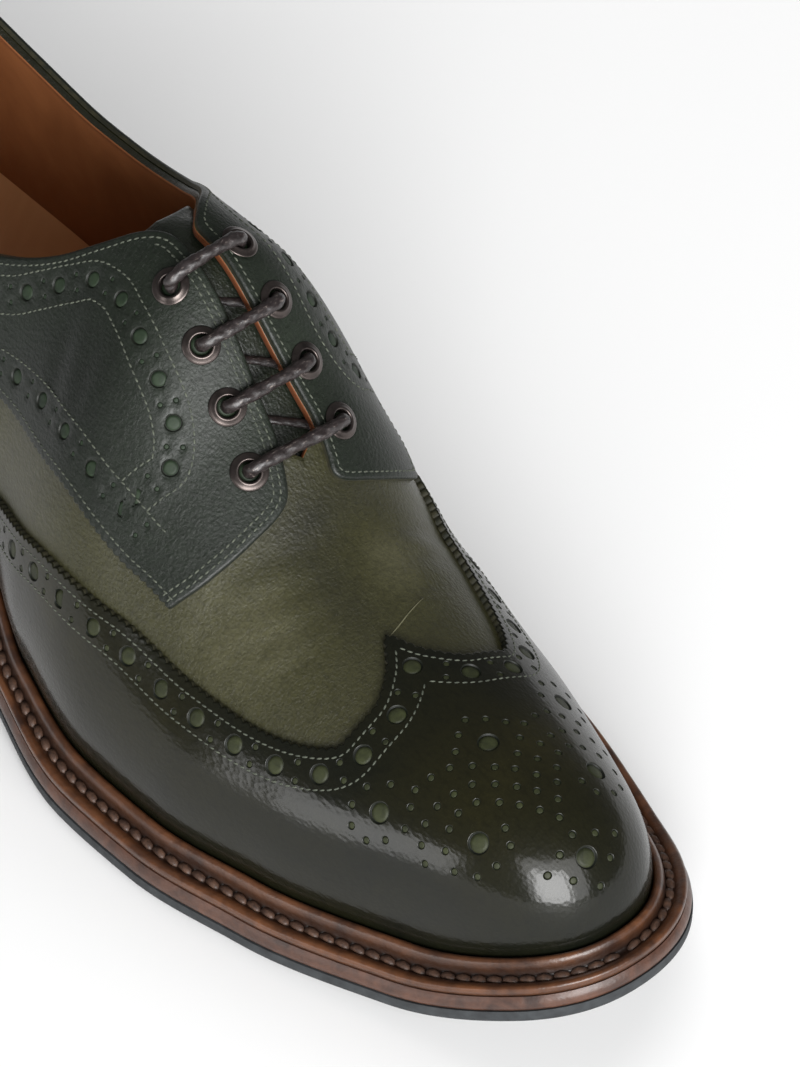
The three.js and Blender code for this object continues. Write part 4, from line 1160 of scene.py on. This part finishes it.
# Tongue
def tongue():
    shape = Shape()
    share = np.linspace(TONGUE_SHAPE[0][0] + TONGUE_BACK, TONGUE_SHAPE[-1][0], 70)
    at = station_at(share)
    half = spline([a for a, _ in TONGUE_SHAPE], [b for _, b in TONGUE_SHAPE])(share)
    t = np.linspace(-1, 1, 45)
    s = np.repeat(at[:, None], len(t), 1)
    q = half[:, None] * t[None]
    folded = np.clip(1 - (share - share[0]) / 0.05, 0, 1)[:, None] ** 2 * (1 - t ** 2)[None]
    s = s + 0.010 * folded
    c = q / girths(s, q)
    edge = 1 - np.abs(t) ** 10
    top = -2.2 * folded - 3.0 + 0.25 * np.sin(s * 300 + 2 * np.sin(q / 5)) * edge * 0.4
    # The top's low tone keeps the tongue dark: painted shade from the facings over the gap between them.
    a = shape.grid(lifted(s, c, top - (1 - edge) * 0.7), 0, 0.25)
    b = shape.grid(lifted(s, c, -2.2 * folded - 4.6), 1, 0.1, flip=True)
    rows, cols = s.shape
    net = np.arange(rows * cols).reshape(rows, cols)
    border = np.concatenate([net[0], net[1:, -1], net[-1, -2::-1], net[-2:0:-1, 0]])
    shape.strip(border + a, border + b, 0, closed=True)
    return shape.build("tongue_leather_piece", [tongue_leather, lining_leather])


finished(tongue(), "tongue", "tongue")


# Eyelets: rolled rings with a barrel
def eyelet_frame(at, half, side):
    s, c = eyelet_place(at, half, side)
    along, axis = unit(read_net(net_along, s, c)), normals(s, c)
    return last_points(s, c), axis, along, np.cross(axis, along)


RING = [(4.15, 1.60), (EYELET_FLANGE, 1.72), (4.05, 1.86), (3.7, 2.0), (3.25, 2.18), (3.0, 2.36),
        (2.8, EYELET_TOP), (2.58, 2.46), (2.4, 2.32), (2.28, 2.05),
        (EYELET_HOLE, 1.5), (EYELET_HOLE, 0.2), (EYELET_HOLE, -2.0)]
for i, (at, half) in enumerate(EYELETS):
    for side, name in ((-1, "lateral"), (1, "medial")):
        point, axis, a, b = eyelet_frame(at, half, side)
        angle = np.linspace(0, 2 * np.pi, 44, endpoint=False)
        around = np.cos(angle)[:, None] * a + np.sin(angle)[:, None] * b
        shape = Shape()
        shape.grid(np.stack([point + around * r + axis * z for r, z in RING]), wrap=True)
        ring = shape.build(f"eyelet_ring_{name}_{i + 1}", [eyelet_metal])
        finished(ring, "eyelets", f"eyelet_{name}_{i + 1}")


# Laces: bars over the throat and hidden crossings under the facings
def rounded_route(points, step=0.28):
    points = np.array(points, float)
    run = np.concatenate([[0], np.cumsum(np.linalg.norm(np.diff(points, axis=0), axis=1) ** 0.5)])
    t = np.linspace(0, run[-1], 900)
    padded = np.vstack([2 * points[0] - points[1], points, 2 * points[-1] - points[-2]])
    knot = np.concatenate([[run[0] - run[1]], run, [run[-1] + run[-1] - run[-2]]])
    fine = []
    for v in t:
        i = int(np.clip(np.searchsorted(run, v, "right") - 1, 0, len(points) - 2)) + 1
        k0, k1, k2, k3 = knot[i - 1:i + 3]
        p0, p1, p2, p3 = padded[i - 1:i + 3]
        a1 = (k1 - v) / (k1 - k0) * p0 + (v - k0) / (k1 - k0) * p1
        a2 = (k2 - v) / (k2 - k1) * p1 + (v - k1) / (k2 - k1) * p2
        a3 = (k3 - v) / (k3 - k2) * p2 + (v - k2) / (k3 - k2) * p3
        b1 = (k2 - v) / (k2 - k0) * a1 + (v - k0) / (k2 - k0) * a2
        b2 = (k3 - v) / (k3 - k1) * a2 + (v - k1) / (k3 - k1) * a3
        fine.append((k2 - v) / (k2 - k1) * b1 + (v - k1) / (k2 - k1) * b2)
    fine = np.array(fine)
    length = runs(fine)
    even = np.linspace(0, length[-1], max(8, int(length[-1] / step)))
    return resampled(even, length, fine), even


def cord_tube(shape, route, run, radius, squash=1.0, wrap=24):
    """Waxed cord along a route, its surface a little uneven from the weave."""
    t = unit(np.gradient(route, axis=0))
    side = unit(np.cross(t, [0.0, 0.0, 1.0]))
    over = np.cross(side, t)
    angle, along = np.linspace(0, 2 * np.pi, wrap, endpoint=False), run[:, None]
    weave = 0.6 * np.sin(3 * angle + along * 1.9) + 0.4 * np.sin(5 * angle - along * 3.1)
    flat = 0.10 * np.sin(along * 0.55 + 1.3) * np.cos(2 * angle + 0.8)
    r = radius * (1 + 0.07 * weave + flat + 0.03 * np.sin(along * 1.1 + 2 * np.sin(angle)))
    across = side[:, None] * (np.cos(angle) * r)[..., None]
    above = over[:, None] * (np.sin(angle) * r * squash)[..., None]
    start = shape.grid(route[:, None] + across + above, 0, 0.5 + 0.5 * weave, wrap=True)
    for row, flip in ((0, False), (len(route) - 1, True)):
        ring = [start + row * wrap + j for j in range(wrap)]
        shape.face(ring[::-1] if flip else ring, 0)


bar_ends = []
for i, (at, half) in enumerate(EYELETS):
    near_eye, far_eye = eyelet_frame(at, half, -1), eyelet_frame(at, half, 1)
    over = unit(far_eye[0] - near_eye[0])
    rest = EYELET_TOP + LACE
    bend = [(0.2, -3.0), (0.1, -0.5), (0.0, 1.2), (0.35, 2.6),
            (1.3, rest - 0.15), (2.7, rest + 0.12), (4.6, rest)]
    route = []
    for (point, axis, a, b), inward in ((near_eye, 1), (far_eye, -1)):
        aside = over * inward
        aside = unit(aside - axis * aside.dot(axis))
        route.append([point + axis * height + aside * out for out, height in bend])
        bar_ends.append((point + axis * -3.0 + aside * 0.2, point, axis, aside))
    line, run = rounded_route(route[0] + route[1][::-1])
    shape = Shape()
    cord_tube(shape, line, run, LACE * 1.1)
    finished(shape.build(f"lace_over_{i + 1}", [waxed_cord]), "laces", f"lace_bar_{i + 1}")
shape = Shape()
for i in range(3):
    near_end, far_end = bar_ends[2 * i], bar_ends[2 * i + 3]
    points = [far_end[0] + far_end[2] * 0.5, far_end[0] + far_end[3] * 1.5 - far_end[2] * 0.1]
    for share in (0.3, 0.5, 0.7):
        mid = far_end[1] * (1 - share) + near_end[1] * share
        points.append(mid + np.array([0, 0, -1.9]) + (far_end[2] + near_end[2]) * 0.3)
    points += [near_end[0] + near_end[3] * 1.5 - near_end[2] * 0.1, near_end[0] + near_end[2] * 0.5]
    line, run = rounded_route(points)
    cord_tube(shape, line, run, LACE * 0.85, 0.7)
finished(shape.build("lace_under", [waxed_cord]), "laces")


# Sole
def layers(stations, side, profile):
    """Points down one side of a layer, from its profile of out and height."""
    points = []
    for out, height in profile(stations):
        x, y = rim(stations, side, out)
        z = height(x) if callable(height) else ground_at(x) + height
        points.append(np.stack([x, y, z], -1))
    return np.stack(points, 1)


def welt_ring(tones, count=360):
    """Closed band round the whole shoe."""
    s = np.linspace(0, 1, count + 1)
    grid = np.concatenate([layers(s, -1, welt_profile), layers(s[-2:0:-1], 1, welt_profile)])
    total, cols = grid.shape[:2]
    shape = Shape()
    shape.add(grid, np.broadcast_to(tones, (total, cols)).ravel())
    for i in range(total):
        here, ahead = i * cols, (i + 1) % total * cols
        for j in range(cols - 1):
            shape.face([here + j, ahead + j, ahead + j + 1, here + j + 1])
    return shape.build("welt_strip", [welt_leather])


def welt_profile(s):
    """Welt from the upper over the rib and the groove to its outer edge."""
    lip = margin(s) + LIP - 1.0
    groove = RIB_IN + RIB_WIDTH
    start = groove + 2.1
    return [(-2.0, WELT_TOP - 0.2), (RIB_IN - 0.35, WELT_TOP), (RIB_IN - 0.3, RIB_TOP - 0.9),
            (RIB_IN + 0.1, RIB_TOP - 0.25), (RIB_IN + 0.6, RIB_TOP), (RIB_IN + 1.1, RIB_TOP - 0.12),
            (RIB_IN + 1.6, RIB_TOP - 0.65), (RIB_IN + 1.95, RIB_TOP - 1.5), (RIB_IN + 2.1, RIB_TOP - 2.6),
            (groove, WELT_TOP - 0.1), (groove + 0.4, WELT_TOP - 0.6), (groove + 1.3, WELT_TOP - 0.68),
            (start, WELT_TOP - 0.5), (start + 0.3, WELT_TOP - 0.12), (lip - 1.1, WELT_TOP + 0.02),
            (lip - 0.5, WELT_TOP - 0.12), (lip - 0.1, WELT_TOP - 0.55), (lip, WELT_TOP - 1.1),
            (lip - 0.1, WELT_TOP - 1.9), (lip - 0.45, WELT_FOOT)]


welt_tones = [0.9, 0.9, 0.6, 0.25, 0.1, 0.1, 0.2, 0.4, 0.75, 1.0,
              1.0, 0.95, 0.6, 0.15, 0.0, 0.0, 0.05, 0.1, 0.3, 0.6]
finished(welt_ring(welt_tones), "welt", "welt")

seam_parts = []
for side in (-1, 1):
    x, y = rim(np.linspace(0.004, 0.996, 1500), side, RIB_IN + RIB_WIDTH + 0.9)
    line = np.stack([x, y, ground_at(x) + WELT_TOP - 0.25], -1)
    run = runs(line)
    count = int(run[-1] / WELT_STITCH["pitch"])
    at = (np.arange(count) + 0.5) * run[-1] / count
    t = resampled(at, run, unit(np.gradient(line, axis=0)))
    up = [0.0, 0.0, 1.0] - t * t[:, 2:]
    t = unit(t + np.cross(up, t) * WELT_STITCH["slant"] * side)
    sizes = (np.full(count, WELT_STITCH[name]) for name in ("half", "thickness"))
    seam_parts.append((resampled(at, run, line), t, up, *sizes))
finished(beads("welt_stitches", joined(seam_parts), welt_thread, 10), "welt")


def slab(name, stations, profile, material):
    """Layer under the whole foot, its side a profile of out and height, closed across top and bottom."""
    shape = Shape()
    lateral, medial = (layers(stations, side, profile) for side in (-1, 1))
    loop = np.concatenate([lateral, medial[:, ::-1]], 1)
    cols = loop.shape[1]
    rows = shape.row(loop.reshape(-1, 3)).reshape(-1, cols)
    for here, ahead in zip(rows, rows[1:]):
        for j in range(cols):
            k = (j + 1) % cols
            shape.face([here[j], ahead[j], ahead[k], here[k]])
    for row, flip in ((rows[0], False), (rows[-1], True)):
        for k in range(cols // 2 - 1):
            quad = [row[k], row[k + 1], row[cols - 2 - k], row[cols - 1 - k]]
            shape.face(quad if flip else quad[::-1])
    return shape.build(name, [material], sharp=40)


def from_lip(rows):
    """Profile from rows of how far out from the lip's edge, and height."""
    return lambda s: [(margin(s) + LIP + out, height) for out, height in rows]


def level(z):
    """Height that doesn't follow the ground curve."""
    return lambda x: 0 * x + z


def heel_level(share):
    """Height at a share of the heel stack, from its foot."""
    foot = TOP_LIFT + 0.05
    return lambda x: foot + (ground_at(x) - foot) * share


def heel_profile(s):
    """Side of the heel's lifts, with a groove between each two."""
    rows = []
    for k in range(HEEL_LIFTS):
        low, high = k / HEEL_LIFTS + 0.018, (k + 1) / HEEL_LIFTS - 0.018
        out = margin(s) + LIP - 1 - 1.2 * (1 - (k + 0.5) / HEEL_LIFTS)
        rows += [(out - 0.16, heel_level(low)), (out, heel_level(0.85 * low + 0.15 * high)),
                 (out + 0.1, heel_level(0.15 * low + 0.85 * high)), (out - 0.1, heel_level(high))]
    return rows


every = np.linspace(0, 1, 321)
heel_stations = np.linspace(0, float(station_at(HEEL_BREAST)), 90)
outsole_profile = from_lip([(-1.6, 0.0), (-0.5, 0.35), (0.0, 1.1), (0.1, 2.4), (0.05, OUTSOLE)])
midsole_profile = from_lip([(-0.45, OUTSOLE + 0.02), (-0.15, 4.4), (-0.1, 5.2),
                            (-0.35, 6.2), (-0.85, 7.0), (-1.15, MIDSOLE_TOP)])
lift_profile = from_lip([(-2.9, level(0.0)), (-2.25, level(0.5)),
                         (-2.15, level(TOP_LIFT - 0.4)), (-2.3, level(TOP_LIFT))])
sock_rows = [(-2.5, WELT_FOOT + 0.1), (-2.35, FEATHER - 0.5), (-2.6, FEATHER - 0.15), (-3.1, FEATHER)]
finished(slab("outsole_rubber", every, outsole_profile, rubber), "sole_rubber", "outsole")
finished(slab("midsole_edge", every, midsole_profile, edge_leather), "sole_edge", "midsole")
finished(slab("heel_lifts", heel_stations, heel_profile, heel_leather), "sole_edge", "heel_stack")
finished(slab("top_lift_rubber", heel_stations, lift_profile, rubber), "sole_rubber", "heel_top_lift")
finished(slab("sock", np.linspace(0, 1, 161), lambda s: sock_rows, sock_leather), "insole", "insole")


def sock_top():
    """Sock lining, dished up a little against the wall of the shoe."""
    stations = np.linspace(0.012, 0.985, 150)
    across = np.linspace(-1, 1, 41)
    edges = []
    for side, rise, waist in SOCK_RISES:
        rise = rise * np.clip(np.minimum(stations / 0.1, (1 - stations) / 0.3), 0.25, 1)
        rise = rise + waist * hump(stations, 0.38, 0.12)
        edges.append(lifted(stations, side * (1 - rise / girths(stations, side)), -WALL - 0.1))
    t = (across + 1) / 2
    points = edges[0][:, None] * (1 - t)[None, :, None] + edges[1][:, None] * t[None, :, None]
    middle = ground_at(position_at(stations))[:, None] + FEATHER + 0.5
    bend = np.abs(across)[None] ** 3.2
    points[..., 2] = middle * (1 - bend) + points[..., 2] * bend
    shape = Shape()
    shape.grid(points)
    return shape.build("sock_lining", [sock_leather])


finished(sock_top(), "insole")


# Floor, light and camera
floor_mesh = bpy.data.meshes.new("floor")
floor_mesh.from_pydata([(-6, -6, 0), (6, -6, 0), (6, 6, 0), (-6, 6, 0)], [], [(0, 1, 2, 3)])
floor = bpy.data.objects.new("floor", floor_mesh)
bpy.context.scene.collection.objects.link(floor)
n = Nodes("floor_paper")
floor_mesh.materials.append(n.set(Base_Color=(0.9, 0.9, 0.9, 1), Roughness=0.9, Specular_IOR_Level=0.0))

world = bpy.data.worlds.new("studio")
bpy.context.scene.world = world
world.use_nodes = True
world.node_tree.nodes["Background"].inputs[0].default_value = (1.0, 1.0, 1.0, 1)
world.node_tree.nodes["Background"].inputs[1].default_value = 0.14


def softbox(name, azimuth, elevation, distance, size, power, aim=(0.06, 0.0, 0.05), glossy=True):
    """Soft rectangular light at a direction from the shoe."""
    light = bpy.data.lights.new(name, "AREA")
    light.shape = "RECTANGLE"
    light.size, light.size_y = size
    light.energy = power
    o = bpy.data.objects.new(name, light)
    bpy.context.scene.collection.objects.link(o)
    a, e = math.radians(azimuth), math.radians(elevation)
    way = Vector((math.sin(a) * math.cos(e), -math.cos(a) * math.cos(e), math.sin(e)))
    o.location = Vector(aim) + way * distance
    o.rotation_mode = "QUATERNION"
    o.rotation_quaternion = way.to_track_quat("Z", "Y")
    o.visible_glossy = glossy


softbox("softbox_front", 70, 24, 3.0, (3.6, 2.3), 100.0)
softbox("softbox_core", 62, 19, 2.9, (1.75, 1.5), 104.0)
softbox("softbox_side", -3, 3, 1.4, (0.36, 0.66), 3.4)
softbox("panel_above", 235, 55, 3.2, (3.6, 3.0), 56.0, aim=(0.0, 0.55, 0.0), glossy=False)
bpy.context.scene.view_settings.view_transform = "Standard"

# Camera: its target and distance in millimetres from the last's frame, its angles in degrees
CAMERA_AZIMUTH, CAMERA_ELEVATION, CAMERA_ROLL = 54.98, 45.98, -3.25
CAMERA_DISTANCE = 1406.72
CAMERA_TARGET = (211.66, 10.92, 72.89)
FOCAL_PIXELS, PHOTO_HEIGHT = 6716.98, 1067
a, e, r = (math.radians(v) for v in (CAMERA_AZIMUTH, CAMERA_ELEVATION, CAMERA_ROLL))
back_way = Vector((math.sin(a) * math.cos(e), -math.cos(a) * math.cos(e), math.sin(e)))
right = Vector((math.cos(a), math.sin(a), 0))
upward = back_way.cross(right)
right, upward = math.cos(r) * right + math.sin(r) * upward, -math.sin(r) * right + math.cos(r) * upward
camera = bpy.data.cameras.new("camera")
camera_object = bpy.data.objects.new("camera", camera)
bpy.context.scene.collection.objects.link(camera_object)
target = Vector(to_frame(np.array(CAMERA_TARGET)).tolist())
matrix = Matrix((right, upward, back_way)).transposed().to_4x4()
matrix.translation = target + back_way * (CAMERA_DISTANCE / 1000)
camera_object.matrix_world = matrix
camera.sensor_width = 36.0
camera.lens = FOCAL_PIXELS * 36.0 / PHOTO_HEIGHT
camera.clip_start, camera.clip_end = 0.05, 30.0
bpy.context.scene.camera = camera_object

bpy.context.view_layer.update()
